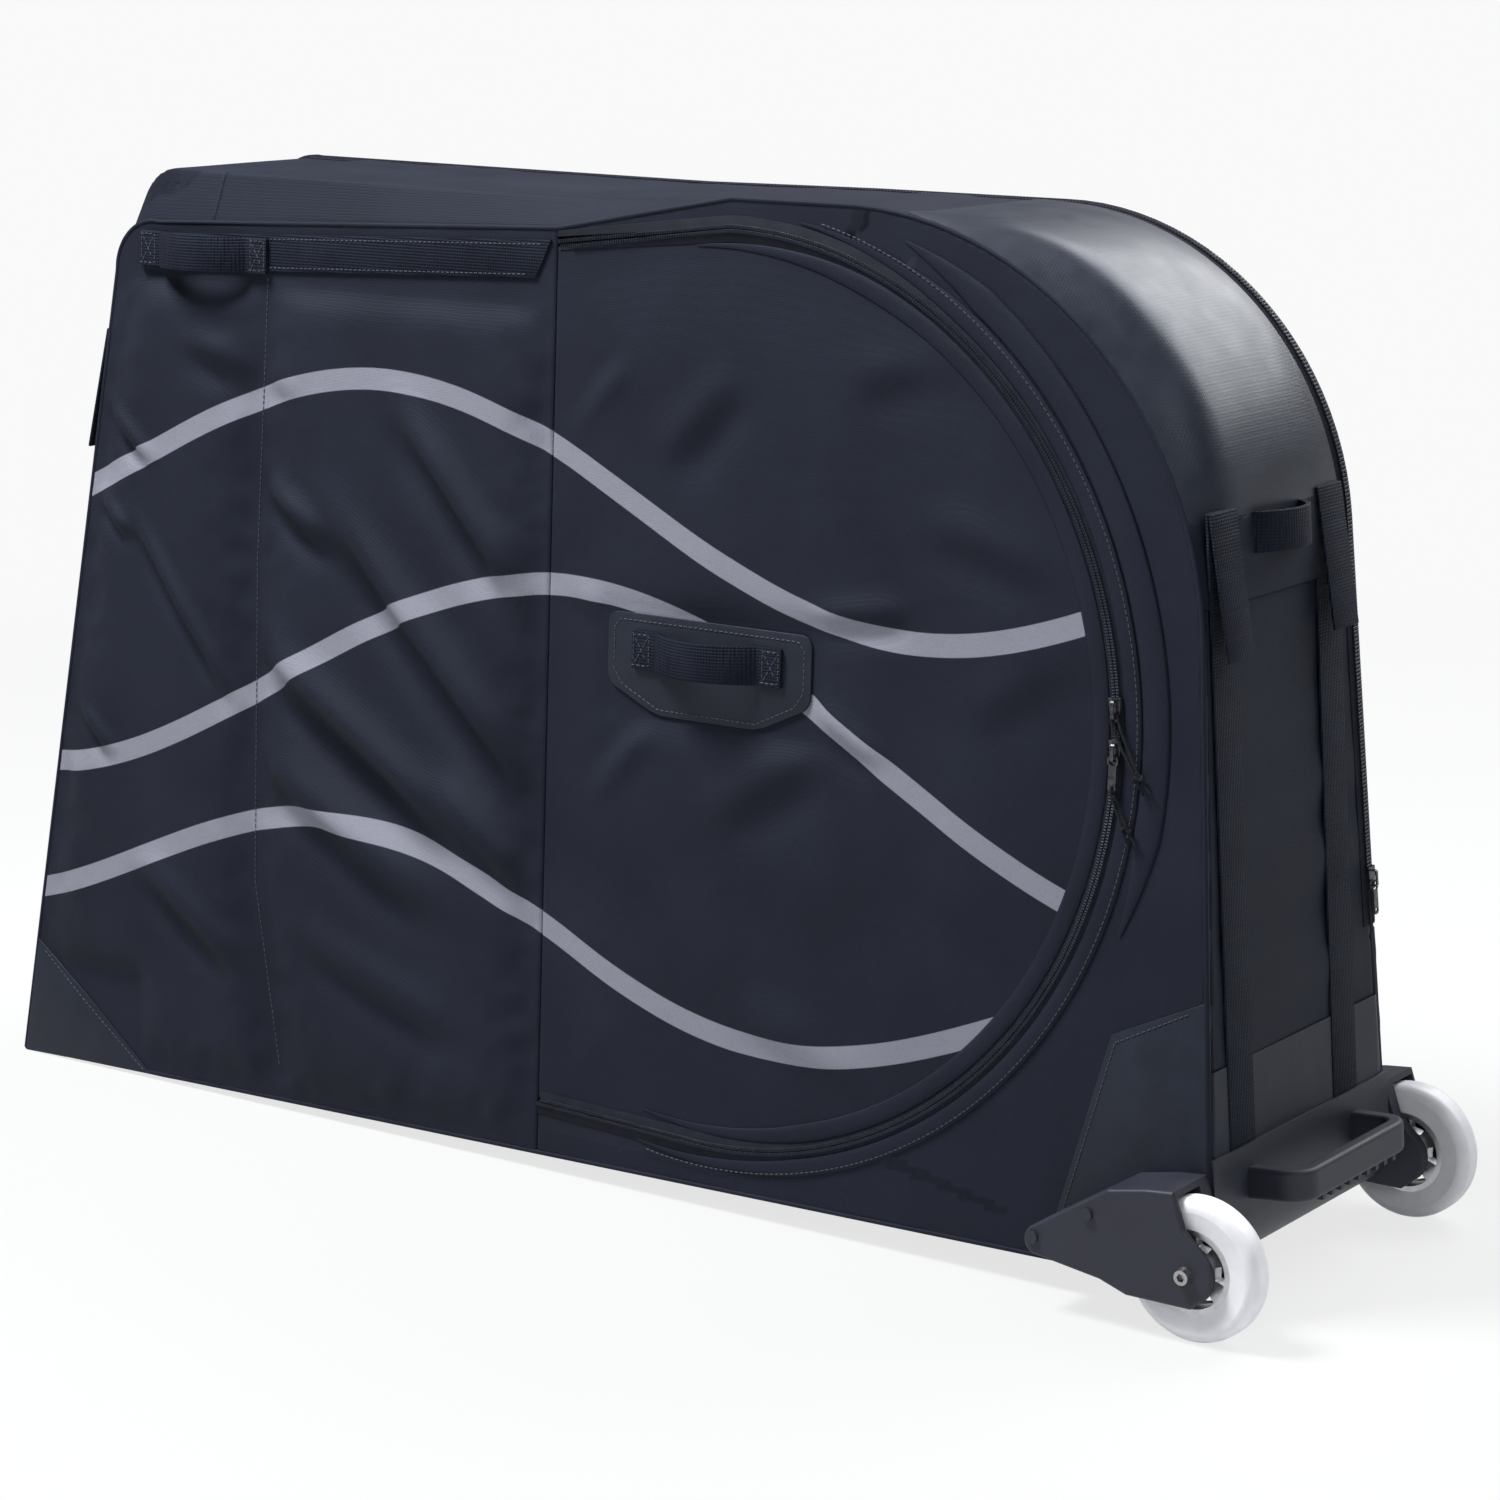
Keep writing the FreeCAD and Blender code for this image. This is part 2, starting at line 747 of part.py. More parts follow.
# Zip sliders: a plate over both coils, side flanges and a bridge that holds the pull
def slider(name, flanges=(-1, 1)):
    """X along the zip, Y across it, Z off the tape."""
    body = new_body(name)
    length = size("slider_length") / 2
    width = size("slider_width") / 2
    nose = width - size("slider_plate")
    under = coil + size("slider_clear")
    plate = draw(new_sketch(body, name + "_plate", "XY_Plane", under), [
        (-length, -nose), (length, -width), (length, width), (-length, nose),
    ])
    pad(body, plate, size("slider_plate"))
    for sign in flanges:
        rail = width - size("slider_plate") * 0.6
        low, high = sorted((rail * sign, width * sign), key=lambda edge: edge.number)
        flange = draw(new_sketch(body, name + "_flange", "XY_Plane", under), [
            (ZERO, low), (length, low), (length, high), (ZERO, high),
        ])
        pad(body, flange, under - tape - size("slider_clear") / 2, back=True)
    top = under + size("slider_plate")
    bar = size("bridge_bar")
    foot = length - bar * 2
    bridge = draw(new_sketch(body, name + "_bridge", "XZ_Plane"), [
        (-foot, top), (bar - foot, top), (bar - foot, top + size("bridge_window")),
        (foot - bar, top + size("bridge_window")), (foot - bar, top), (foot, top),
        (foot, top + size("bridge_window")), (foot - bar, top + size("bridge_window") + bar),
        (bar - foot, top + size("bridge_window") + bar), (-foot, top + size("bridge_window")),
    ])
    pad(body, bridge, size("bridge_width"), middle=True)
    return body


slider_top = coil + size("slider_clear") + size("slider_plate")
bridge_leg = size("slider_length") / 2 - size("bridge_bar") * 2.5
pull_level = slider_top + size("pull_clear")


def pull(name, length):
    """A flat metal pull: an eye round the slider's lower bridge leg and an arm with a slot at its end."""
    body = new_body(name)
    eye = size("pull_eye")
    arm = size("pull_width") / 2
    end = -bridge_leg - length
    ring_sketch = draw_circle(new_sketch(body, name + "_eye", "XY_Plane", pull_level), -bridge_leg, ZERO, eye)
    pad(body, ring_sketch, size("pull_plate"))
    arm_sketch = draw(new_sketch(body, name + "_arm", "XY_Plane", pull_level), [
        (end + arm, arm), (end + arm / 2, arm / 2), (end + arm / 2, -(arm / 2)), (end + arm, -arm),
        (-bridge_leg, -arm), (-bridge_leg, arm),
    ])
    pad(body, arm_sketch, size("pull_plate"))
    hole = draw_circle(new_sketch(body, name + "_hole", "XY_Plane"), -bridge_leg, ZERO, eye * 0.7)
    pocket(body, hole)
    slot = draw_circle(new_sketch(body, name + "_slot", "XY_Plane"), end + arm * 1.6, ZERO, arm * 0.5)
    pocket(body, slot)
    return body


near_turn = FreeCAD.Rotation(V(1, 0, 0), 90 - lean.number)


def near_point(x, height, out):
    """A point of the near side's plane, in the case's own frame."""
    return V(0, -half_width.number, 0) + near_turn.multVec(V(x, height, out))


def zip_place(angle):
    """On the pocket's zip line at an angle above its rearmost point, X pointing up along the zip."""
    turn = math.radians(angle)
    radius = zip_radius.number
    x = pocket_x.number + radius * math.cos(turn)
    height = pocket_height.number + radius * math.sin(turn)
    point = near_point(x, height, 0)
    return FreeCAD.Placement(point, near_turn * FreeCAD.Rotation(V(0, 0, 1), angle + 90))


for label, length in (("upper", size("short_pull_length")), ("lower", size("pull_length"))):
    angle = size(label + "_slider_angle")
    runner = slider("near_slider_" + label)
    runner.Placement = zip_place(angle.number)
    nodes.append(runner)
    grip = pull("near_pull_" + label, length)
    grip.Placement = zip_place(angle.number)
    pair = together("pair_" + label, [runner, grip])
    nodes.append(mirrored("far_slider_" + label, pair))
nodes.append(grip)

# The main slider's one flange is on the flap's tape, so that the flap can swing clear of the gusset's coil
main_runner = slider("main_runner", flanges=(-1,))
runner_height = sheet.get("main_slider_height")
runner_inset = half_width.number - wall.number - sheet.get("fold_gap") / 2
lean_turn = math.radians(lean.number)
upward = V(-sheet.get("end_slope"), -math.sin(lean_turn), math.cos(lean_turn)).normalize()
across = V(1, 0, 0).cross(upward).normalize()
runner_turn = FreeCAD.Rotation(upward, across, upward.cross(across))
runner_point = V(
    end_x(size("main_slider_height")).number,
    runner_inset - runner_height * math.sin(lean_turn),
    runner_height * math.cos(lean_turn),
)
main_pull = pull("main_pull", size("pull_length"))
for piece in (main_runner, main_pull):
    piece.Placement = FreeCAD.Placement(runner_point, runner_turn)
nodes.append(together("main_slider", [main_runner, main_pull]))

# Cords of the near pulls: each is one length, doubled through its pull and tied in a knot.
# A route is in its slider's own frame: X up along the zip, Y to the pocket's middle, Z off the tape.
upper_route = (
    (-66, -24.5, 7), (-53, -19.5, 8.2), (-33, -8.2, 7.4), (-14, 2.2, 6.3), (-3.2, 3.2, 6.3),
    (-3.2, -3.2, 6.3), (-14, -4.8, 6.3), (-33, -13.4, 7.4), (-52.3, -22.2, 8.2), (-64, -30.5, 7),
)
lower_route = (
    (-72, -17.2, 7.6), (-58.5, -13.2, 8.6), (-45, -6.6, 8.8), (-34.5, -1.6, 9.3), (-26.9, 0, 9),
    (-26.9, 0, 3.8), (-34.5, -2, 4), (-45, -8, 5.2), (-58.8, -16, 7.6), (-70, -24, 7.2),
)
tube_radius = sheet.get("cord_diameter") / 2


def cord_path(route):
    """Straight runs joined by arcs that are as large as the two runs beside them allow."""
    points = [V(*point) for point in route]
    edges = []
    radii = []
    reached = points[0]
    for before, corner, after in zip(points, points[1:], points[2:]):
        inward = (before - corner).normalize()
        onward = (after - corner).normalize()
        shorter = min((before - corner).Length, (after - corner).Length)
        setback = 0.45 * shorter
        half_turn = (math.pi - inward.getAngle(onward)) / 2
        radius = setback / math.tan(half_turn)
        bisector = (inward + onward).normalize()
        middle = corner + bisector * (radius / math.cos(half_turn) - radius)
        first = corner + inward * setback
        last = corner + onward * setback
        edges.append(Part.LineSegment(reached, first).toShape())
        edges.append(Part.Arc(first, middle, last).toShape())
        radii.append(radius)
        reached = last
    edges.append(Part.LineSegment(reached, points[-1]).toShape())
    return edges, radii


def cord_tube(edges):
    """A round wall carried along each run and arc of a route, closed at both ends."""
    start = edges[0].firstVertex().Point
    ring = Part.Circle(start, edges[0].lastVertex().Point - start, tube_radius).toShape()
    faces = [Part.Face(Part.Wire([ring]))]
    for edge in edges:
        if isinstance(edge.Curve, Part.Circle):
            centre = edge.Curve.Center
            axis = edge.Curve.Axis
            turn = math.degrees(edge.Length / edge.Curve.Radius)
            faces.append(ring.revolve(centre, axis, turn))
            ring = ring.rotated(centre, axis, turn)
        else:
            step = edge.lastVertex().Point - edge.firstVertex().Point
            faces.append(ring.extrude(step))
            ring = ring.translated(step)
    faces.append(Part.Face(Part.Wire([ring])))
    shell = Part.makeShell(faces)
    shell.sewShape()
    return Part.makeSolid(shell)


def knot_turn(route):
    """The turn of the knot that binds the two strands."""
    first = V(*route[1])
    second = V(*route[-2])
    along = ((first - V(*route[2])).normalize() + (second - V(*route[-3])).normalize()).normalize()
    apart = second - first
    spread = (apart - along * apart.dot(along)).Length / 2
    inner = spread + tube_radius + sheet.get("knot_clear")
    return Part.makeTorus(inner + tube_radius, tube_radius, (first + second) * 0.5, along)


def cord(name, route, angle):
    """The cord's tube and the knot that its two strands are tied in."""
    edges, radii = cord_path(route)
    length = sum(edge.Length for edge in edges)
    tube = cord_tube(edges)
    knot = knot_turn(route)
    feature = doc.addObject("Part::Feature", name)
    feature.Shape = Part.makeCompound([tube, knot])
    feature.Placement = zip_place(angle.number)
    expected = math.pi * tube_radius ** 2 * length
    print(name, "length %.1f" % length, "volume over section times length %.4f" % (tube.Volume / expected))
    print(name, "radii", " ".join("%.1f" % radius for radius in radii))
    return feature


nodes.append(cord("near_cord_upper", upper_route, size("upper_slider_angle")))
nodes.append(cord("near_cord_lower", lower_route, size("lower_slider_angle")))

# Webbing on the two ends: straps, hanging tabs and a grab handle
strap_half = size("strap_width") / 2
strap_gap = size("strap_spacing") / 2
strap_middle = -size("strap_shift")


def end_straps(name, foot, top, angle, outside, x_of):
    """Two straps up one end, sewn on its outer face, and the tabs that hang over their tops."""
    strips = []
    hung = []
    for sign in (-1, 1):
        strap = doc.addObject("Part::Box", name + "_strap")
        bind(strap, "Length", webbing)
        bind(strap, "Width", size("strap_width"))
        bind(strap, "Height", top - foot)
        edge = x_of(foot) + seat_gap if outside > 0 else x_of(foot) - seat_gap - webbing
        place(strap, edge, strap_middle + strap_gap * sign - strap_half, foot, V(0, 1, 0), angle)
        strips.append(strap)
        tab = doc.addObject("Part::Box", name + "_tab")
        bind(tab, "Length", webbing)
        bind(tab, "Width", size("strap_width"))
        bind(tab, "Height", size("tab_length"))
        foot_height = top - size("tab_length")
        swing = size("tab_length") * math.sin(math.radians(sheet.get("tab_angle"))) * outside
        hang = (webbing + seat_gap * 2) * outside
        start = x_of(foot_height) + (hang if outside > 0 else hang - webbing)
        turn = angle - size("tab_angle") * outside
        place(tab, start + swing, strap_middle + strap_gap * sign - strap_half, foot_height, V(0, 1, 0), turn)
        hung.append(tab)
    return strips, hung


rear_straps, rear_tabs = end_straps("rear", size("shroud_height"), size("strap_top"), -end_lean, 1, end_x)
fore_straps, fore_tabs = end_straps("fore", tray, size("front_strap_top"), front_lean, -1, front_x)
for label, group in (("end_straps", rear_straps + fore_straps), ("end_tabs", rear_tabs + fore_tabs)):
    nodes.append(together(label, group))

rear_handle = new_body("wheel_end_handle")
fore_handle = new_body("front_end_handle")
end_spots = (
    (rear_handle, size("strap_top") - size("end_handle_drop"), 1, end_x, -end_lean),
    (fore_handle, size("front_strap_top") - size("end_handle_drop"), -1, front_x, front_lean),
)
for handle, height, outside, x_of, angle in end_spots:
    arch(handle, "strap_edge", ZERO, ZERO, ZERO, size("end_handle_span"))
    tilt = FreeCAD.Rotation(V(0, 1, 0), angle.number)
    faced = FreeCAD.Rotation(V(0, outside, 0), V(0, 0, 1), V(outside, 0, 0))
    spot = V(x_of(height).number, strap_middle.number, height.number)
    handle.Placement = FreeCAD.Placement(spot, tilt * faced)
    nodes.append(handle)

# Wheels: a cast tyre on a spoked core, two ball bearings and the sleeve between them
wheel_y = -(size("wheel_track") / 2)
half_wheel = size("wheel_width") / 2
half_core = size("core_width") / 2
core = size("core_radius")
bore = size("bearing_diameter") / 2
axle_radius = size("axle_diameter") / 2
inner_bore = axle_radius + size("axle_fit")


def wheel_body(name):
    body = new_body(name)
    place(body, axle_x, wheel_y, wheel_radius)
    return body


tyre = wheel_body("near_tyre")
edge = size("wheel_edge")
revolve(tyre, draw(new_sketch(tyre, "tyre_half", "XY_Plane"), [
    (core, -half_core), (wheel_radius - edge, -half_wheel, edge), (wheel_radius, edge - half_wheel),
    (wheel_radius, half_wheel - edge, edge), (wheel_radius - edge, half_wheel), (core, half_core),
]))

hub = wheel_body("near_hub")
rim = core - size("core_rim")
boss = bore + size("bearing_boss")
web = size("core_web") / 2
revolve(hub, draw(new_sketch(hub, "core_half", "XY_Plane"), [
    (bore, -half_core), (boss, -half_core), (boss, -web), (rim, -web), (rim, -half_core), (core, -half_core),
    (core, half_core), (rim, half_core), (rim, web), (boss, web), (boss, half_core), (bore, half_core),
]))
window_low = size("window_inner")
window_half = window_low * 0.36
window_high = rim - size("core_rim") / 2
window_sketch = draw(new_sketch(hub, "spoke_window", "XZ_Plane"), [
    (window_low, -(window_half * 0.8)), (window_high, -(window_half * 1.4)),
    (window_high, window_half * 1.4), (window_low, window_half * 0.8),
])
window = pocket(hub, window_sketch)
spokes = hub.newObject("PartDesign::PolarPattern", "spoke_windows")
spokes.Originals = [window]
spokes.Axis = (window_sketch, ["N_Axis"])
spokes.Angle = 360
spokes.Occurrences = 5
hub.Tip = spokes

rings = []
for name, low, high, radius in (
    ("outer_bearing", -half_core, size("bearing_width") - half_core, bore),
    ("inner_bearing", half_core - size("bearing_width"), half_core, bore),
    ("bearing_sleeve", size("bearing_width") - half_core, half_core - size("bearing_width"), bore * 0.6),
):
    turned = wheel_body(name)
    revolve(turned, draw(new_sketch(turned, name + "_half", "XY_Plane"), [
        (inner_bore, low), (radius, low), (radius, high), (inner_bore, high),
    ]))
    rings.append(turned)
bearing_set = together("near_bearings", rings)
for piece in (tyre, hub, bearing_set):
    nodes.append(piece)
    nodes.append(mirrored(piece.Name.replace("near_", "far_"), piece))

# Axle bolts and the bushes that centre each wheel between the guard's cheeks
room = half_wheel + size("wheel_room")
cheek_face = room + size("cheek")
bolt = wheel_body("near_axle")
head = size("bolt_head") / 2
revolve(bolt, draw(new_sketch(bolt, "bolt_half", "XY_Plane"), [
    (ZERO, -(cheek_face + size("bolt_head_height"))), (head * 0.8, -(cheek_face + size("bolt_head_height"))),
    (head, -cheek_face), (axle_radius, -cheek_face), (axle_radius, cheek_face), (ZERO, cheek_face),
]))
socket_sketch = new_sketch(bolt, "hex_socket", "XZ_Plane", cheek_face + size("bolt_head_height"))
flat = size("hex_socket") / 2
point = flat * 1.1547
draw(socket_sketch, [
    (point, ZERO), (point / 2, flat), (-(point / 2), flat),
    (-point, ZERO), (-(point / 2), -flat), (point / 2, -flat),
])
pocket(bolt, socket_sketch, size("bolt_head_height") * 0.6)
nodes.append(together("axle_bolts", [bolt, mirrored("far_axle", bolt)]))

bushes = []
bush = size("bush_diameter") / 2
for name, low, high in (
    ("outer_bush", -room, -half_core - size("bush_play")),
    ("inner_bush", half_core + size("bush_play"), room),
):
    turned = wheel_body(name)
    revolve(turned, draw(new_sketch(turned, name + "_half", "XY_Plane"), [
        (inner_bore, low), (bush, low), (bush, high), (inner_bore, high),
    ]))
    bushes.append(turned)
    bushes.append(mirrored("far_" + name, turned))
nodes.append(together("axle_bushes", bushes))

# Wheel guard: a moulded housing with two cheeks, seated on the side of the case
guard = wheel_body("guard_moulding")
boss_radius = size("cheek_boss")
skin = wheel_radius + size("wheel_room") + size("guard_skin")
top_x = -size("guard_top_start")
reach = size("guard_reach")
tip = size("guard_tip") / 2
low = -size("guard_low")
guard_outline = [
    (tip * 0.6 - reach, -(tip * 0.8)),
    (-size("guard_bottom_start") - boss_radius, low * 0.7),
    (-size("guard_bottom_start"), low),
    (boss_radius * 0.2, low),
    (boss_radius * 0.5, -(boss_radius * 0.866), boss_radius),
    (boss_radius * 0.6, boss_radius * 0.8),
    (top_x * 0.2, boss_radius * 1.5),
    (top_x, skin),
    (top_x * 3, skin - webbing),
    (-(reach * 0.48), skin * 0.86),
    (tip * 0.6 - reach, tip, tip),
]
guard_depth = size("wheel_track") / 2 + cheek_face - half_width + slack / 2
guard_sketch = new_sketch(guard, "guard_edge", "XZ_Plane", cheek_face)
draw(guard_sketch, guard_outline)
pad(guard, guard_sketch, guard_depth, back=True)
rounded(guard, size("guard_round"), lambda middle: abs(middle.y + cheek_face.number) < 0.01)
wheel_room_sketch = new_sketch(guard, "wheel_room", "XZ_Plane", room)
draw_circle(wheel_room_sketch, ZERO, ZERO, wheel_radius + size("wheel_room"))
pocket(guard, wheel_room_sketch, room * 2)
bore_sketch = new_sketch(guard, "axle_bore", "XZ_Plane", cheek_face)
draw_circle(bore_sketch, ZERO, ZERO, axle_radius)
pocket(guard, bore_sketch, cheek_face * 2)
seat = near_body("guard_seat_tool")
seat_sketch = new_sketch(seat, "seat_face", "XY_Plane", size("patch_thickness"))
draw(seat_sketch, [(low_x, -slack), (high_x + slack, -slack), (high_x + slack, top_z), (low_x, top_z)])
pad(seat, seat_sketch, slack, back=True)
near_guard = boolean("Cut", "near_guard", guard, seat)
nodes.append(near_guard)
nodes.append(mirrored("far_guard", near_guard))

# Rivets that hold the guards and the shroud
rivet_radius = size("rivet_diameter") / 2
rivet_spots = (
    (tip * 0.7 - reach, tip * 0.3),
    (-(reach * 0.6), skin * 0.5),
)
rivets = []
for x, z in rivet_spots:
    rivet = wheel_body("rivet")
    sketch = new_sketch(rivet, "rivet_edge", "XZ_Plane", cheek_face)
    draw_circle(sketch, x, z, rivet_radius)
    pad(rivet, sketch, size("rivet_head"))
    rivets.append(rivet)
    rivets.append(mirrored("far_rivet", rivet))
nodes.append(together("guard_rivets", rivets))

# Shroud: the moulded corner of the base between the guards, with skid ribs underneath
shroud = new_body("base_shroud")
shroud_wall = size("shroud_wall") + seat_gap
corner = size("base_corner")
start = end_foot - size("shroud_length")
bend_x = end_foot - corner
bend_height = size("base_rise") + corner
shroud_top = size("shroud_height")
shroud_sketch = draw(new_sketch(shroud, "shroud_edge", "XZ_Plane"), [
    (start, base_height(start) - shroud_wall),
    (bend_x, base_height(bend_x) - shroud_wall, corner + shroud_wall),
    (end_x(bend_height) + shroud_wall, bend_height),
    (end_x(shroud_top) + shroud_wall, shroud_top),
    (end_x(shroud_top) + seat_gap, shroud_top),
    (end_x(bend_height) + seat_gap, bend_height, -(corner + seat_gap)),
    (bend_x, base_height(bend_x) - seat_gap),
    (start, base_height(start) - seat_gap),
])
pad(shroud, shroud_sketch, size("shroud_half") * 2, middle=True)
skid_sketch = draw(new_sketch(shroud, "skid_edge", "XZ_Plane", size("skid_pitch") * 2), [
    (start + corner / 4, base_height(start + corner / 4) - shroud_wall - size("skid_depth")),
    (bend_x - corner / 4, base_height(bend_x - corner / 4) - shroud_wall - size("skid_depth")),
    (bend_x, base_height(bend_x) - shroud_wall / 2),
    (start, base_height(start) - shroud_wall / 2),
])
skid = pad(shroud, skid_sketch, size("skid_width"), middle=True)
skids = shroud.newObject("PartDesign::LinearPattern", "skid_row")
skids.Originals = [skid]
skids.Direction = (skid_sketch, ["N_Axis"])
skids.Reversed = True
bind(skids, "Length", size("skid_pitch") * 4)
skids.Occurrences = 5
shroud.Tip = skids
nodes.append(shroud)

# Tow handle: a rigid bail that stands off the shroud, ribbed under its bar
tow = new_body("tow_handle")
tow_half = size("tow_width") / 2
tow_reach = size("tow_reach")
tow_bar = size("tow_bar")
tow_corner = size("tow_corner")
inside_corner = tow_corner - tow_bar
tow_sketch = draw(new_sketch(tow, "tow_edge", "XY_Plane"), [
    (ZERO, -tow_half),
    (tow_reach - tow_corner, -tow_half, tow_corner),
    (tow_reach, tow_corner - tow_half),
    (tow_reach, tow_half - tow_corner, tow_corner),
    (tow_reach - tow_corner, tow_half),
    (ZERO, tow_half),
    (ZERO, tow_half - tow_bar),
    (tow_reach - tow_corner, tow_half - tow_bar, -inside_corner),
    (tow_reach - tow_bar, tow_half - tow_corner),
    (tow_reach - tow_bar, tow_corner - tow_half, -inside_corner),
    (tow_reach - tow_corner, tow_bar - tow_half),
    (ZERO, tow_bar - tow_half),
])
pad(tow, tow_sketch, size("tow_height"), middle=True)
half_height = sheet.get("tow_height") / 2
tow_edge = lambda middle: middle.x > 0.01 and abs(abs(middle.z) - half_height) < 0.01
rounded(tow, size("tow_round"), tow_edge)
rib_row = size("tow_rib_pitch") * 8
rib = size("tow_rib") / 2
rib_level = size("tow_round") - size("tow_height") / 2
rib_sketch = draw(new_sketch(tow, "rib_edge", "XY_Plane", rib_level), [
    (tow_reach - tow_bar + rib / 2, -(rib_row / 2) - rib),
    (tow_reach - rib / 2, -(rib_row / 2) - rib),
    (tow_reach - rib / 2, rib - rib_row / 2),
    (tow_reach - tow_bar + rib / 2, rib - rib_row / 2),
])
tow_rib = pad(tow, rib_sketch, size("tow_rib_depth") + size("tow_round"), back=True)
ribs = tow.newObject("PartDesign::LinearPattern", "rib_row")
ribs.Originals = [tow_rib]
ribs.Direction = (rib_sketch, ["V_Axis"])
bind(ribs, "Length", rib_row)
ribs.Occurrences = 9
tow.Tip = ribs
tow_level = size("tow_level")
place(tow, end_x(tow_level) + shroud_wall, ZERO, tow_level, V(0, 1, 0), -end_lean)
nodes.append(tow)

# Inside: a foam pad on the base, a notched block for the frame and stiffening tubes at both ends
base_tilt = Size(
    math.degrees(math.atan(base_height(ZERO).number / -front.number)),
    "atan(%s) / 1 deg" % (base_height(ZERO) / -front).text,
)
floor_pad = doc.addObject("Part::Box", "base_pad")
pad_start = front + wall + size("pad_inset")
pad_length = end_foot - wall - size("pad_inset") * 2 - pad_start
bind(floor_pad, "Length", pad_length)
bind(floor_pad, "Width", size("pad_width"))
bind(floor_pad, "Height", size("pad_thickness"))
pad_half = size("pad_width") / 2
place(floor_pad, pad_start, -pad_half, base_height(pad_start) + wall, V(0, 1, 0), -base_tilt)
nodes.append(floor_pad)

rest = new_body("frame_block")
rest_half = size("block_width") / 2
notch = size("block_notch") / 2
rest_top = size("block_height")
draw(new_sketch(rest, "block_edge", "YZ_Plane"), [
    (-rest_half, ZERO), (rest_half, ZERO), (rest_half, rest_top), (notch, rest_top),
    (notch * 0.6, rest_top - notch * 2), (-(notch * 0.6), rest_top - notch * 2),
    (-notch, rest_top), (-rest_half, rest_top),
])
pad(rest, rest.Group[0], size("block_length"))
rest_x = -size("block_place")
rest_level = base_height(rest_x) + wall + size("pad_thickness") + seat_gap
place(rest, rest_x, ZERO, rest_level, V(0, 1, 0), -base_tilt)
nodes.append(rest)

stay_radius = size("stay_diameter") / 2
stay_foot = size("base_rise") + size("base_corner") + seat_gap
stays = []
stay_inset = wall + stay_radius + size("stay_clear")
for length, angle, x_of, side in (
    (size("end_stay_length"), -end_lean, end_x, -1),
    (size("front_stay_length"), front_lean, front_x, 1),
):
    for sign in (-1, 1):
        stay = doc.addObject("Part::Cylinder", "stay")
        bind(stay, "Radius", stay_radius)
        bind(stay, "Height", length)
        stay_y = size("stay_spacing") / 2 * sign
        place(stay, x_of(stay_foot) + stay_inset * side, stay_y, stay_foot, V(0, 1, 0), angle)
        stays.append(stay)
nodes.append(together("end_stays", stays))

# Check the document, then write every sub-part
doc.recompute()
failed = [thing.Name for thing in doc.Objects if {"Invalid", "Error"} & set(thing.State)]
for node in nodes:
    node.Label = node.Name
    if node.Shape.isNull() or not node.Shape.isValid() or not node.Shape.Solids:
        failed.append(node.Name)
if failed:
    raise RuntimeError("these objects failed: %s" % ", ".join(failed))

os.makedirs("parts", exist_ok=True)
for node in nodes:
    node.Shape.exportStep(os.path.join("parts", node.Label + ".step"))
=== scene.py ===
import bpy
import math
import numpy as np
from mathutils import Matrix, Vector, kdtree, noise


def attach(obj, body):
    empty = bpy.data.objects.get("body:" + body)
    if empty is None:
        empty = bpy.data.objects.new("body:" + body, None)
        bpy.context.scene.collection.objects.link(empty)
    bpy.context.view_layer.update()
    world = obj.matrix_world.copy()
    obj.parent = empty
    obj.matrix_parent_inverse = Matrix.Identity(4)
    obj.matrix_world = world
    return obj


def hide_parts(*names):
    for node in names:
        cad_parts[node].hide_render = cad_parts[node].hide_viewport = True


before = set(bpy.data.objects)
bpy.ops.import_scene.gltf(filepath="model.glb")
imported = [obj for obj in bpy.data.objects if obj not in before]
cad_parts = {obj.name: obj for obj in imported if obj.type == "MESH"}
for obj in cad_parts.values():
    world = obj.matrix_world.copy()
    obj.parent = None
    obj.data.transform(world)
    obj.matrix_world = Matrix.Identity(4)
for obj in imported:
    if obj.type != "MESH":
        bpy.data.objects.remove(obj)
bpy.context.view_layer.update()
scene = bpy.context.scene


# Side walls of the case: front panels, surrounds and covers of the wheel pockets, and the sewn skirt.
# Dark polyester on thin foam, cut to shape and sewn into a seam along every edge, so that each one
# puffs a little between its seams and is drawn into drag folds where the empty case sags.
lean = math.radians(3.1)
half_width = 0.155
wall_voxel = 0.0042
settle_frames = 18
cloth_colour = (0.0098, 0.0118, 0.0200)
blue_sheen = (0.74, 0.82, 1.0, 1)
# A point whose normal turns further than this from the way out of its side is on the sewn edge
edge_facing = 0.8
# Printed lines: colour, half width, and for each one its level, swing, wave length and start
print_colour = (0.20, 0.205, 0.25)
print_half = 0.0095
print_lines = ((0.590, 0.085, 1.10, 2.9), (0.400, 0.115, 1.30, 1.7), (0.215, 0.065, 0.95, 3.4))
# Drag folds, each from one place on the side to another (along, up), with its width and height
front_folds = (
    ((-0.300, 0.575), (-0.050, 0.330), 0.020, 0.0160),
    ((-0.215, 0.660), (-0.070, 0.500), 0.017, 0.0131),
    ((-0.385, 0.440), (-0.100, 0.270), 0.021, 0.0160),
    ((-0.390, 0.340), (-0.155, 0.215), 0.020, 0.0121),
    ((-0.385, 0.585), (-0.285, 0.525), 0.013, 0.0104),
    ((-0.165, 0.340), (-0.055, 0.245), 0.016, 0.0094),
    ((-0.535, 0.540), (-0.400, 0.370), 0.009, 0.0075),
    ((-0.575, 0.640), (-0.505, 0.580), 0.008, 0.0075),
    ((-0.580, 0.550), (-0.530, 0.510), 0.008, 0.0075),
    ((-0.600, 0.350), (-0.550, 0.305), 0.008, 0.0066),
    ((-0.520, 0.215), (-0.390, 0.130), 0.017, 0.0094),
    ((-0.330, 0.180), (-0.130, 0.110), 0.018, 0.0084),
    ((-0.470, 0.700), (-0.330, 0.660), 0.014, 0.0075),
)
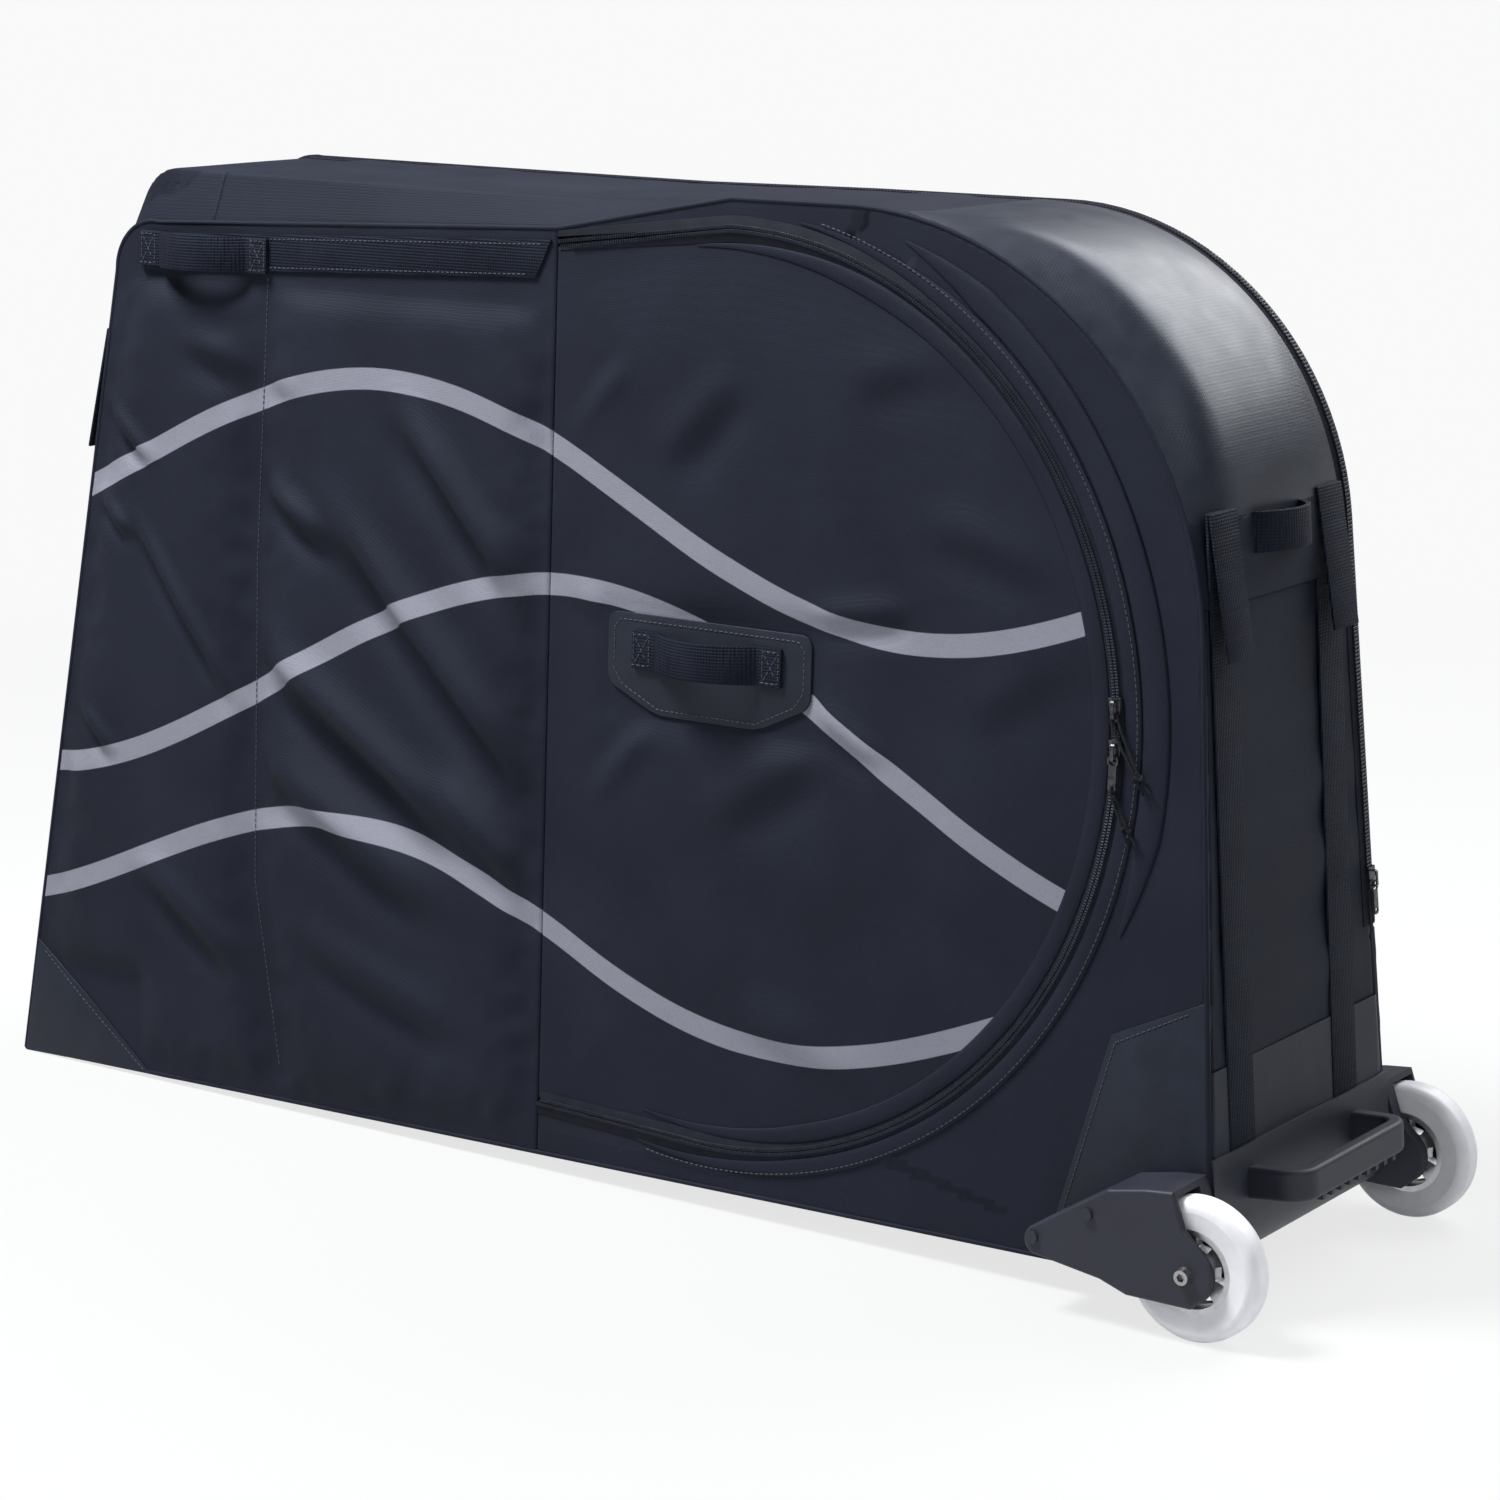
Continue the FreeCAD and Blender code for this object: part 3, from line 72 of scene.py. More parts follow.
pocket_folds = (
    ((-0.050, 0.530), (0.025, 0.490), 0.012, 0.0053),
    ((0.215, 0.518), (0.320, 0.532), 0.012, 0.0053),
    ((0.220, 0.448), (0.300, 0.405), 0.012, 0.0053),
    ((0.068, 0.415), (0.000, 0.335), 0.013, 0.0053),
    ((0.060, 0.630), (0.140, 0.710), 0.018, 0.0045),
    ((0.370, 0.455), (0.500, 0.530), 0.018, 0.0025),
    ((0.330, 0.610), (0.460, 0.575), 0.018, 0.0045),
    ((0.030, 0.710), (-0.040, 0.635), 0.012, 0.0053),
    ((0.250, 0.715), (0.370, 0.745), 0.018, 0.0045),
    ((0.120, 0.340), (0.230, 0.410), 0.020, 0.0053),
    ((0.160, 0.190), (0.300, 0.130), 0.022, 0.0053),
    ((0.330, 0.330), (0.440, 0.250), 0.020, 0.0025),
)
# Places where a sewn band or patch keeps the cloth flat: middle along, middle up, half length, half height
front_flats = ((-0.330, 0.782, 0.300, 0.030), (-0.600, 0.045, 0.070, 0.045))
pocket_flats = ((0.118, 0.458, 0.100, 0.040), (0.540, 0.130, 0.070, 0.120))
# The dart down each front panel
dart = ((-0.376, 0.753), (-0.385, 0.501), (-0.384, 0.209), (-0.351, 0.037))


def select_only(piece):
    bpy.ops.object.select_all(action="DESELECT")
    piece.select_set(True)
    bpy.context.view_layer.objects.active = piece


def node_copy(node, piece_name):
    """A piece of its own with the node's shape, its loose triangles merged."""
    piece = bpy.data.objects.new(piece_name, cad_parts[node].data.copy())
    scene.collection.objects.link(piece)
    piece.data.materials.clear()
    select_only(piece)
    bpy.ops.object.mode_set(mode="EDIT")
    bpy.ops.mesh.select_all(action="SELECT")
    bpy.ops.mesh.remove_doubles(threshold=0.00002)
    bpy.ops.object.mode_set(mode="OBJECT")
    return piece


def cloth_copy(node, voxel, place=Matrix()):
    """A soft copy of a node, remeshed evenly in its own plane so that it can puff and crease."""
    piece = node_copy(node, node + "_cloth")
    piece.data.transform(place.inverted())
    piece.data.remesh_voxel_size = voxel
    bpy.ops.object.voxel_remesh()
    piece.data.transform(place)
    bpy.ops.object.shade_smooth()
    return piece


def read_points(piece):
    points = np.empty(len(piece.data.vertices) * 3)
    piece.data.vertices.foreach_get("co", points)
    return points.reshape(-1, 3)


def read_normals(piece):
    normals = np.empty(len(piece.data.vertices) * 3)
    piece.data.vertex_normals.foreach_get("vector", normals)
    return normals.reshape(-1, 3)


def write_points(piece, points):
    piece.data.vertices.foreach_set("co", points.ravel())
    piece.data.update()


def tree_of(points):
    """A search tree of points, each under its number."""
    tree = kdtree.KDTree(len(points))
    for number, point in enumerate(points):
        tree.insert(point, number)
    tree.balance()
    return tree


def rim_distance(points, rim):
    """How far each point lies from the nearest point of a panel's sewn rim."""
    tree = tree_of(rim)
    return np.array([tree.find(point)[2] for point in points])


def side_out(side):
    """The way out of one side, and the way up it."""
    sign = -1 if side == "near" else 1
    out = np.array((0, sign * math.cos(lean), math.sin(lean)))
    up = np.array((0, -sign * math.sin(lean), math.cos(lean)))
    return out, up


def side_foot(side):
    """Where the plane of one side meets the ground, across the case."""
    return half_width if side == "far" else -half_width


def side_frame(side):
    """The place of a side's own plane: X along the case, Y up the side, Z out of it."""
    out, up = side_out(side)
    return Matrix((
        (1, up[0], out[0], 0),
        (0, up[1], out[1], side_foot(side)),
        (0, up[2], out[2], 0),
        (0, 0, 0, 1),
    ))


def spaced(corners, step=0.004):
    """Points along a line of corners, a few millimetres apart."""
    points = []
    for start, stop in zip(corners, corners[1:]):
        run = Vector(stop) - Vector(start)
        count = max(1, round(run.length / step))
        points += [Vector(start) + run * number / count for number in range(count)]
    return points + [Vector(corners[-1])]


def drape(piece, side, puff, reach, folds, flats, darts):
    """Move a side panel as one sheet: its puff, drag folds, and puckers along the seams that hold it."""
    ripple = 0.0022
    flat_rim = 0.018
    out, up = side_out(side)
    points = read_points(piece)
    rim = points[np.abs(read_normals(piece) @ out) < edge_facing]
    stitches = [side_frame(side) @ spot.to_3d() for line in darts for spot in spaced(line)]
    gap = rim_distance(points, np.vstack((rim, np.array(stitches).reshape(-1, 3))))
    held = 1 - np.exp(-(gap / reach) ** 2)
    along = points[:, 0]
    height = (points - np.array((0, side_foot(side), 0))) @ up
    lift = puff * held
    for start, stop, width, rise in folds:
        run = np.array(stop) - np.array(start)
        length = np.linalg.norm(run)
        share = ((along - start[0]) * run[0] + (height - start[1]) * run[1]) / length ** 2
        off = ((along - start[0]) * run[1] - (height - start[1]) * run[0]) / length
        fade = np.exp(-((share - 0.5) / 0.42) ** 4)
        crest = np.exp(-(off / width) ** 2) - 0.75 * np.exp(-((off - 1.5 * width) / width) ** 2)
        lift = lift + rise * fade * crest * held
    wave = np.array([noise.noise((x * 14, z * 6, 3.1)) for x, z in zip(along, height)])
    pucker = np.array([noise.noise((x * 46, z * 46, 7.7)) for x, z in zip(along, height)])
    by_seam = np.exp(-(gap / 0.05) ** 2) * (1 - np.exp(-(gap / 0.007) ** 2))
    lift = lift + ripple * wave * held + ripple * pucker * by_seam * (reach < 0.05)
    for middle_x, middle_up, half_x, half_up in flats:
        past = np.hypot(
            np.maximum(np.abs(along - middle_x) - half_x, 0),
            np.maximum(np.abs(height - middle_up) - half_up, 0),
        )
        lift = lift * (1 - np.exp(-(past / flat_rim) ** 2))
    write_points(piece, points + lift[:, None] * out)


def billow(panel, side, frames, cap):
    """How far each point of a panel swells when its cloth, a little too large for its seams, settles.
    The outer face alone is settled, on a lighter sheet, and its rise is carried back to the panel."""
    out = Vector(side_out(side)[0])
    points = read_points(panel)
    rim = points[np.abs(read_normals(panel) @ np.array(out)) < edge_facing]
    sheet = bpy.data.objects.new(panel.name + "_sheet", panel.data.copy())
    scene.collection.objects.link(sheet)
    select_only(sheet)
    bpy.ops.object.mode_set(mode="EDIT")
    bpy.ops.mesh.select_mode(type="FACE")
    bpy.ops.mesh.select_all(action="DESELECT")
    bpy.ops.object.mode_set(mode="OBJECT")
    for face in sheet.data.polygons:
        face.select = face.normal.dot(out) < 0.5
    bpy.ops.object.mode_set(mode="EDIT")
    bpy.ops.mesh.delete(type="FACE")
    bpy.ops.object.mode_set(mode="OBJECT")
    lighter = sheet.modifiers.new("lighter", "DECIMATE")
    lighter.ratio = 0.3
    bpy.ops.object.modifier_apply(modifier=lighter.name)
    still = read_points(sheet)
    sewn = sheet.vertex_groups.new(name="sewn")
    sewn.add(np.flatnonzero(rim_distance(still, rim) < 0.012).tolist(), 1, "REPLACE")
    cloth = sheet.modifiers.new("cloth", "CLOTH")
    cloth.settings.quality = 4
    cloth.settings.mass = 0.3
    cloth.settings.tension_stiffness = 15
    cloth.settings.compression_stiffness = 15
    cloth.settings.bending_stiffness = 2
    cloth.settings.vertex_group_mass = "sewn"
    cloth.settings.shrink_min = -0.012
    cloth.settings.use_pressure = True
    cloth.settings.uniform_pressure_force = 1.5
    cloth.settings.effector_weights.gravity = 0
    for number in range(1, frames + 1):
        scene.frame_set(number)
    settled = read_points(sheet.evaluated_get(bpy.context.evaluated_depsgraph_get()))
    rise = cap * np.tanh((settled - still) @ np.array(out) / cap)
    scene.frame_set(1)
    bpy.data.objects.remove(sheet)
    tree = tree_of(still)
    carried = []
    for point in points:
        nearest = tree.find_n(point, 4)
        weights = [1 / (distance + 0.001) for spot, number, distance in nearest]
        total = sum(weight * rise[number] for weight, (spot, number, distance) in zip(weights, nearest))
        carried.append(total / sum(weights))
    return np.array(carried)


def new_material(name):
    """A material with its nodes, links, shader and Object coordinates at hand."""
    material = bpy.data.materials.new(name)
    material.use_nodes = True
    nodes = material.node_tree.nodes
    links = material.node_tree.links
    shader = nodes["Principled BSDF"]
    place = nodes.new("ShaderNodeTexCoord").outputs["Object"]
    return material, nodes, links, shader, place


def add_noise(nodes, links, place, scale, detail=4):
    texture = nodes.new("ShaderNodeTexNoise")
    texture.inputs["Scale"].default_value = scale
    texture.inputs["Detail"].default_value = detail
    links.new(place, texture.inputs["Vector"])
    return texture.outputs["Fac"]


def add_math(nodes, links, operation, first, second=None, third=None):
    step = nodes.new("ShaderNodeMath")
    step.operation = operation
    for socket, value in zip(step.inputs, (first, second, third)):
        if value is None:
            continue
        if isinstance(value, (int, float)):
            socket.default_value = value
        else:
            links.new(value, socket)
    return step.outputs["Value"]


def add_threads(nodes, links, place, scale):
    """A plain weave: three sets of fine ridges, one along each axis, added up."""
    ridges = []
    for direction in ("X", "Y", "Z"):
        wave = nodes.new("ShaderNodeTexWave")
        wave.bands_direction = direction
        wave.inputs["Scale"].default_value = scale
        wave.inputs["Distortion"].default_value = 0.6
        wave.inputs["Detail Scale"].default_value = 2.0
        links.new(place, wave.inputs["Vector"])
        ridges.append(wave.outputs["Fac"])
    first = add_math(nodes, links, "ADD", ridges[0], ridges[1])
    return add_math(nodes, links, "ADD", first, ridges[2])


def add_bump(nodes, links, shader, heights):
    """Stack bumps on the shader's normal, each a height, its strength and its depth."""
    normal = None
    for height, strength, depth in heights:
        bump = nodes.new("ShaderNodeBump")
        bump.inputs["Strength"].default_value = strength
        bump.inputs["Distance"].default_value = depth
        links.new(height, bump.inputs["Height"])
        if normal is not None:
            links.new(normal, bump.inputs["Normal"])
        normal = bump.outputs["Normal"]
    links.new(normal, shader.inputs["Normal"])


def add_shades(nodes, links, factor, dark, pale):
    ramp = nodes.new("ShaderNodeValToRGB")
    ramp.color_ramp.elements[0].position = 0.3
    ramp.color_ramp.elements[0].color = (*dark, 1)
    ramp.color_ramp.elements[1].position = 0.72
    ramp.color_ramp.elements[1].color = (*pale, 1)
    links.new(factor, ramp.inputs["Fac"])
    return ramp.outputs["Color"]


def roughen(nodes, links, shader, factor, span, least):
    """Let the roughness follow a factor, over a span above its least."""
    links.new(add_math(nodes, links, "MULTIPLY_ADD", factor, span, least), shader.inputs["Roughness"])


def shade(colour, share):
    return tuple(part * share for part in colour)


def add_flowing_line(nodes, links, place, level, swing, length, start, half):
    """A printed line that flows along the side as a slow wave; 1 on the line, 0 off it."""
    parts = nodes.new("ShaderNodeSeparateXYZ")
    links.new(place, parts.inputs["Vector"])
    turn = add_math(nodes, links, "MULTIPLY_ADD", parts.outputs["X"], 2 * math.pi / length, start)
    wave = add_math(nodes, links, "SINE", turn)
    middle = add_math(nodes, links, "MULTIPLY_ADD", wave, swing, level)
    off = add_math(nodes, links, "SUBTRACT", parts.outputs["Z"], middle)
    slope = add_math(nodes, links, "COSINE", turn)
    steep = add_math(nodes, links, "MULTIPLY", slope, swing * 2 * math.pi / length)
    stretch = add_math(nodes, links, "SQRT", add_math(nodes, links, "MULTIPLY_ADD", steep, steep, 1.0))
    across = add_math(nodes, links, "DIVIDE", add_math(nodes, links, "ABSOLUTE", off), stretch)
    soft = nodes.new("ShaderNodeMapRange")
    soft.interpolation_type = "SMOOTHSTEP"
    soft.inputs["From Min"].default_value = half + 0.0005
    soft.inputs["From Max"].default_value = half - 0.0005
    links.new(across, soft.inputs["Value"])
    return soft.outputs["Result"]


def wall_cloth(name, printed):
    """Plain weave polyester with a dull face; the near side carries three printed flowing lines."""
    material, nodes, links, shader, place = new_material(name)
    cloud = add_noise(nodes, links, place, 9)
    colour = add_shades(nodes, links, cloud, shade(cloth_colour, 0.82), shade(cloth_colour, 1.2))
    threads = add_threads(nodes, links, place, 240)
    creases = add_noise(nodes, links, place, 55, 6)
    if printed:
        ink = None
        for level, swing, length, start in print_lines:
            line = add_flowing_line(nodes, links, place, level, swing, length, start, print_half)
            ink = line if ink is None else add_math(nodes, links, "MAXIMUM", ink, line)
        worn = add_math(nodes, links, "MULTIPLY_ADD", add_noise(nodes, links, place, 420, 3), 0.3, 0.84)
        ink = add_math(nodes, links, "MINIMUM", add_math(nodes, links, "MULTIPLY", ink, worn), 1.0)
        blend = nodes.new("ShaderNodeMix")
        blend.data_type = "RGBA"
        links.new(ink, blend.inputs["Factor"])
        links.new(colour, blend.inputs["A"])
        blend.inputs["B"].default_value = (*print_colour, 1)
        colour = blend.outputs["Result"]
    links.new(colour, shader.inputs["Base Color"])
    roughen(nodes, links, shader, cloud, 0.16, 0.60)
    shader.inputs["Specular IOR Level"].default_value = 0.16
    shader.inputs["Specular Tint"].default_value = blue_sheen
    add_bump(nodes, links, shader, ((creases, 0.14, 0.0016), (threads, 0.35, 0.0002)))
    return material


printed_cloth = wall_cloth("printed_wall_cloth", True)
plain_cloth = wall_cloth("plain_wall_cloth", False)
# Kinds of wall: folds, flats, darts, puff, the most it may billow and how far from its seams it lies free
front_kind = (front_folds, front_flats, (dart,), 0.004, 0.006, 0.024)
cover_kind = (pocket_folds, pocket_flats, (), 0.002, 0.003, 0.06)
surround_kind = ((), pocket_flats, (), 0.0, 0, 0.06)
skirt_kind = ((), pocket_flats, (), 0.001, 0, 0.024)
for node, body, side, material, kind in (
    ("near_front_panel", "case_body", "near", printed_cloth, front_kind),
    ("near_pocket_surround", "case_body", "near", plain_cloth, surround_kind),
    ("near_pocket_flap", "near_flap", "near", printed_cloth, cover_kind),
    ("far_front_panel", "main_flap", "far", plain_cloth, front_kind),
    ("far_pocket_surround", "main_flap", "far", plain_cloth, surround_kind),
    ("far_pocket_flap", "far_flap", "far", plain_cloth, cover_kind),
    ("far_skirt", "case_body", "far", plain_cloth, skirt_kind),
):
    folds, flats, darts, puff, billow_cap, reach = kind
    own_plane = side_frame(side)
    if own_plane.determinant() < 0:
        own_plane = own_plane @ Matrix.Diagonal((1, 1, -1, 1))
    panel = cloth_copy(node, wall_voxel, own_plane)
    rise = puff
    if billow_cap:
        rise = puff + billow(panel, side, settle_frames, billow_cap)
    drape(panel, side, rise, reach, folds, flats, darts)
    panel.data.materials.append(material)
    panel.data.materials.append(plain_cloth)
    out = Vector(side_out(side)[0])
    for face in panel.data.polygons:
        face.material_index = int(face.normal.dot(out) < 0)
    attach(panel, body)
    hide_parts(node)


# Gusset of the case: base, wheel end, top and front, one strip of the same cloth sewn between the sides.
# The shoulder over the wheel end is coated tarpaulin with a wet gloss, because it takes the knocks.
# Each strip puffs a little between its seams; a tarpaulin apron covers the foot of the wheel end.
gusset_voxel = 0.0042
end_cloth_top = 0.622
zip_strip = 0.021
strip_reach = 0.025
apron_top = 0.200
apron_stand = 0.0018
# The shoulder's bend: its middle (along, up), radius, and the angles where the tarpaulin starts and ends
bend_middle = (0.2371, 0.5041)
bend_radius = 0.344
bend_angles = (8.9, 80.2)
case_middle = np.array((0, 0, 0.42))


def swell(piece, rise, reach, ripple, seams):
    """Push the outer face of a gusset strip out between its seams, with small ripples across it.
    The long seams face sideways; the seams to the next strips are given as an axis and a place."""
    points = read_points(piece)
    normals = read_normals(piece)
    sideways = np.abs(normals[:, 1])
    sewn = sideways > 0.75
    for axis, level in seams:
        sewn = sewn | (np.abs(points[:, axis] - level) < 0.005)
    held = 1 - np.exp(-(rim_distance(points, points[sewn]) / reach) ** 2)
    outward = np.sum(normals * (points - case_middle), axis=1) > 0
    wrinkle = np.array([noise.noise((x * 22, y * 5, z * 22)) for x, y, z in points])
    lift = np.where(outward & ~sewn, held * (rise + ripple * wrinkle), 0)
    write_points(piece, points + lift[:, None] * normals)


def eased(grid, turns):
    """A grid of points smoothed along its first direction, its two ends kept."""
    for turn in range(turns):
        longer = np.concatenate((2 * grid[:1] - grid[1:2], grid, 2 * grid[-1:] - grid[-2:-1]))
        grid = (longer[:-2] + 2 * longer[1:-1] + longer[2:]) / 4
    return grid


def shoulder_sheet(rows, columns):
    """The tarpaulin over the bend: an even grid felt out on the gusset's outer faces and eased both ways."""
    under = [node_copy(node, node + "_under") for node in (
        "wheel_end_panel", "shoulder_panel", "top_panel", "near_pocket_surround",
    )]
    bpy.context.view_layer.update()
    grid = np.empty((rows + 1, columns + 1, 3))
    for row in range(rows + 1):
        turn = math.radians(bend_angles[0] + (bend_angles[1] - bend_angles[0]) * row / rows)
        outward = Vector((math.cos(turn), 0, math.sin(turn)))
        for column in range(columns + 1):
            share = 2 * column / columns - 1
            half = half_width - (bend_middle[1] + bend_radius * outward.z) * math.tan(lean)
            across = share * (half - zip_strip / 2 - 0.0005) - zip_strip / 2
            middle = Vector((bend_middle[0], across, bend_middle[1]))
            reach = 0
            for piece in under:
                found, spot = piece.ray_cast(middle + 0.6 * outward, -outward)[:2]
                reach = max(reach, (spot - middle).length if found else 0)
            puff = 0.006 * (1 - share ** 4) * math.sin(math.pi * row / rows) ** 0.5 + 0.0006
            grid[row, column] = middle + outward * (reach + puff)
    grid = eased(grid, 14)
    grid = eased(grid.swapaxes(0, 1), 6)
    for piece in under:
        bpy.data.objects.remove(piece)
    bpy.ops.object.select_all(action="DESELECT")
    bpy.ops.mesh.primitive_grid_add(x_subdivisions=rows, y_subdivisions=columns)
    sheet = bpy.context.object
    sheet.name = "shoulder_panel_cloth"
    write_points(sheet, grid.reshape(-1, 3))
    finer = sheet.modifiers.new("finer", "SUBSURF")
    finer.levels = 2
    thick = sheet.modifiers.new("thick", "SOLIDIFY")
    thick.thickness = 0.002
    thick.offset = -1
    bpy.ops.object.modifier_apply(modifier=finer.name)
    bpy.ops.object.modifier_apply(modifier=thick.name)
    bpy.ops.object.shade_smooth_by_angle(angle=math.radians(50))
    return sheet


def paint(nodes, links, shader, factor, dark, pale):
    """Shade the base colour from dark to pale with a factor."""
    links.new(add_shades(nodes, links, factor, dark, pale), shader.inputs["Base Color"])


def coated_cloth(name, colour, roughness, gloss):
    """Tarpaulin: a smooth plastic coat over a scrim that shows faintly, with soft dents and scuffs."""
    material, nodes, links, shader, place = new_material(name)
    scuffs = add_noise(nodes, links, place, 38, 5)
    paint(nodes, links, shader, scuffs, shade(colour, 0.85), shade(colour, 1.2))
    roughen(nodes, links, shader, scuffs, 0.22, roughness - 0.08)
    shader.inputs["Specular IOR Level"].default_value = gloss
    shader.inputs["Specular Tint"].default_value = (0.76, 0.85, 1.0, 1)
    shader.inputs["Coat Weight"].default_value = gloss * 0.3
    shader.inputs["Coat Roughness"].default_value = 0.22
    scrim = add_threads(nodes, links, place, 130)
    dents = add_noise(nodes, links, place, 16, 3)
    add_bump(nodes, links, shader, ((dents, 0.12, 0.003), (scrim, 0.10, 0.0003)))
    return material


shoulder_coat = coated_cloth("shoulder_tarpaulin", (0.0098, 0.0126, 0.0220), 0.40, 0.46)
patch_coat = coated_cloth("patch_tarpaulin", (0.0100, 0.0122, 0.020), 0.58, 0.24)
for node, rise, ripple, seams in (
    ("base_panel", 0.0, 0.0, ()),
    ("wheel_end_panel", 0.0, 0.0036, ((2, 0.048), (2, 0.560))),
    ("top_panel", 0.004, 0.003, ((0, 0.300), (0, -0.450))),
    ("front_end_panel", 0.0, 0.0015, ((0, -0.450), (2, 0.048))),
):
    strip = cloth_copy(node, gusset_voxel)
    swell(strip, rise, strip_reach, ripple, seams)
    strip.data.materials.append(plain_cloth)
    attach(strip, "case_body")
    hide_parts(node)

shoulder = shoulder_sheet(48, 32)
shoulder.data.materials.append(shoulder_coat)
shoulder.data.materials.append(plain_cloth)
for face in shoulder.data.polygons:
    face.material_index = int(face.center.z < end_cloth_top)
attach(shoulder, "case_body")
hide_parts("shoulder_panel")

apron = node_copy("wheel_end_panel", "wheel_end_apron")
bpy.ops.object.mode_set(mode="EDIT")
bpy.ops.mesh.subdivide(number_cuts=1)
bpy.ops.object.mode_set(mode="OBJECT")
bpy.ops.object.shade_smooth_by_angle(angle=math.radians(50))
bpy.ops.object.mode_set(mode="EDIT")
bpy.ops.mesh.select_all(action="SELECT")
bpy.ops.mesh.bisect(plane_co=(0, 0, apron_top), plane_no=(0, 0, 1), clear_outer=True)
bpy.ops.mesh.select_all(action="SELECT")
bpy.ops.transform.shrink_fatten(value=apron_stand)
bpy.ops.object.mode_set(mode="OBJECT")
apron.data.materials.append(patch_coat)
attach(apron, "case_body")


# Inside: wheel bags behind both pockets, a foam pad on the base and the block that carries a frame.
# The bags are thin lining cloth on their own seams; pad and block are closed-cell foam, cut with a wire,
# which leaves fine pores and slightly rounded edges.
lining, nodes, links, shader, place = new_material("bag_lining")
lining_cloud = add_noise(nodes, links, place, 14)
paint(nodes, links, shader, lining_cloud, (0.045, 0.047, 0.052), (0.07, 0.072, 0.08))
shader.inputs["Roughness"].default_value = 0.75
add_bump(nodes, links, shader, ((add_threads(nodes, links, place, 180), 0.4, 0.0003),))


def grained(name, grain, dark, pale, rough, bump):
    """A finish from one grain (scale, detail), which shades the colour and raises a bump (strength, depth).
    The roughness follows the grain over a span above its least, or is even where the span is 0."""
    material, nodes, links, shader, place = new_material(name)
    height = add_noise(nodes, links, place, *grain)
    paint(nodes, links, shader, height, dark, pale)
    if rough[0]:
        roughen(nodes, links, shader, height, *rough)
    else:
        shader.inputs["Roughness"].default_value = rough[1]
    add_bump(nodes, links, shader, ((height, *bump),))
    return material, shader.inputs


foam = grained("cut_foam", (700, 2), (0.035, 0.035, 0.038), (0.075, 0.075, 0.08), (0, 0.95), (0.5, 0.0008))[0]


def soften_edges(piece, width, segments, smooth_angle):
    """Round the sharp edges of the active piece and shade it smooth between them."""
    edge = piece.modifiers.new("soft_edge", "BEVEL")
    edge.width = width
    edge.segments = segments
    edge.limit_method = "ANGLE"
    bpy.ops.object.modifier_apply(modifier=edge.name)
    bpy.ops.object.shade_smooth_by_angle(angle=math.radians(smooth_angle))


for node, body, material, slot in (
    ("near_wheel_bag", "case_body", lining, "liner"),
    ("far_wheel_bag", "main_flap", lining, "liner"),
    ("base_pad", "case_body", foam, "foam"),
    ("frame_block", "case_body", foam, "foam"),
):
    soft = node_copy(node, node + "_soft")
    soften_edges(soft, 0.0012, 2, 40)
    soft.data.materials.append(material)
    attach(soft, body)
    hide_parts(node)


# Seam piping round the near side: a bound cord of the wall's own cloth, caught in the seam.
# Outlines are in a side's own plane: along the case, up the side.
piping_radius = 0.0022
case_front = -0.6775
end_foot = 0.615
foot_height = 0.030
end_slope = 0.07
front_slope = 0.155
corner_radius = 0.045


def end_x(height):
    return end_foot - end_slope * (height - foot_height)


def front_x(height):
    return case_front + front_slope * height


def base_height(x):
    return foot_height * (x - case_front) / (end_foot - case_front)


near_outline = (
    (case_front, 0.0025),
    (end_foot - corner_radius, base_height(end_foot - corner_radius), corner_radius),
    (end_x(0.075), 0.075),
    (end_x(0.534), 0.534, bend_radius),
    (0.230, 0.848),
    (0.126, 0.848),
    (-0.052, 0.815),
    (front_x(0.797) + corner_radius, 0.797, corner_radius),
    (front_x(0.752), 0.752),
    (case_front, 0.0025),
)


def traced(corners, steps=28):
    """The points of an outline; a third entry rounds the way to the next corner, its centre to the left."""
    points = []
    for corner, following in zip(corners, corners[1:]):
        start = Vector(corner[:2])
        stop = Vector(following[:2])
        points.append(start)
        if len(corner) == 3:
            half = (stop - start) / 2
            left = Vector((-half.y, half.x)).normalized()
            middle = start + half + left * math.sqrt(corner[2] ** 2 - half.length_squared)
            first = start - middle
            sweep = first.angle_signed(stop - middle)
            for step in range(1, steps):
                points.append(middle + Matrix.Rotation(-sweep * step / steps, 2) @ first)
    points.append(Vector(corners[-1][:2]))
    return points


def lay_on(piece, place, lift=0):
    """Put a piece modelled in a flat plane on its plane of the case, lifted off it."""
    piece.data.transform(Matrix.Translation((0, 0, lift)))
    piece.data.transform(place)
    if place.determinant() < 0:
        piece.data.flip_normals()


def flat_curve(name, points):
    """A flat curve along points of a plane, as a guide for what follows it."""
    curve = bpy.data.curves.new(name, "CURVE")
    curve.dimensions = "2D"
    curve.fill_mode = "NONE"
    run = curve.splines.new("POLY")
    run.points.add(len(points) - 1)
    for knot, point in zip(run.points, points):
        knot.co = (point[0], point[1], 0, 1)
    guide = bpy.data.objects.new(name, curve)
    scene.collection.objects.link(guide)
    return guide


def round_bead(name, points, radius, lift, place, flatten=1.0, taper=0):
    """A bead along points of a plane; it can be pressed flat and thin out over a share of its ends."""
    guide = flat_curve(name, points)
    if taper:
        run = guide.data.splines[0].points
        for number, knot in enumerate(run):
            share = number / (len(run) - 1)
            knot.radius = min(1, 0.1 + min(share, 1 - share) / taper)
    guide.data.dimensions = "3D"
    guide.data.bevel_depth = radius
    guide.data.bevel_resolution = 3
    guide.data.use_fill_caps = True
    select_only(guide)
    bpy.ops.object.convert(target="MESH")
    bead = bpy.context.object
    bead.data.transform(Matrix.Translation((0, 0, lift)) @ Matrix.Diagonal((1, 1, flatten, 1)))
    lay_on(bead, place)
    bpy.ops.object.shade_smooth()
    return bead


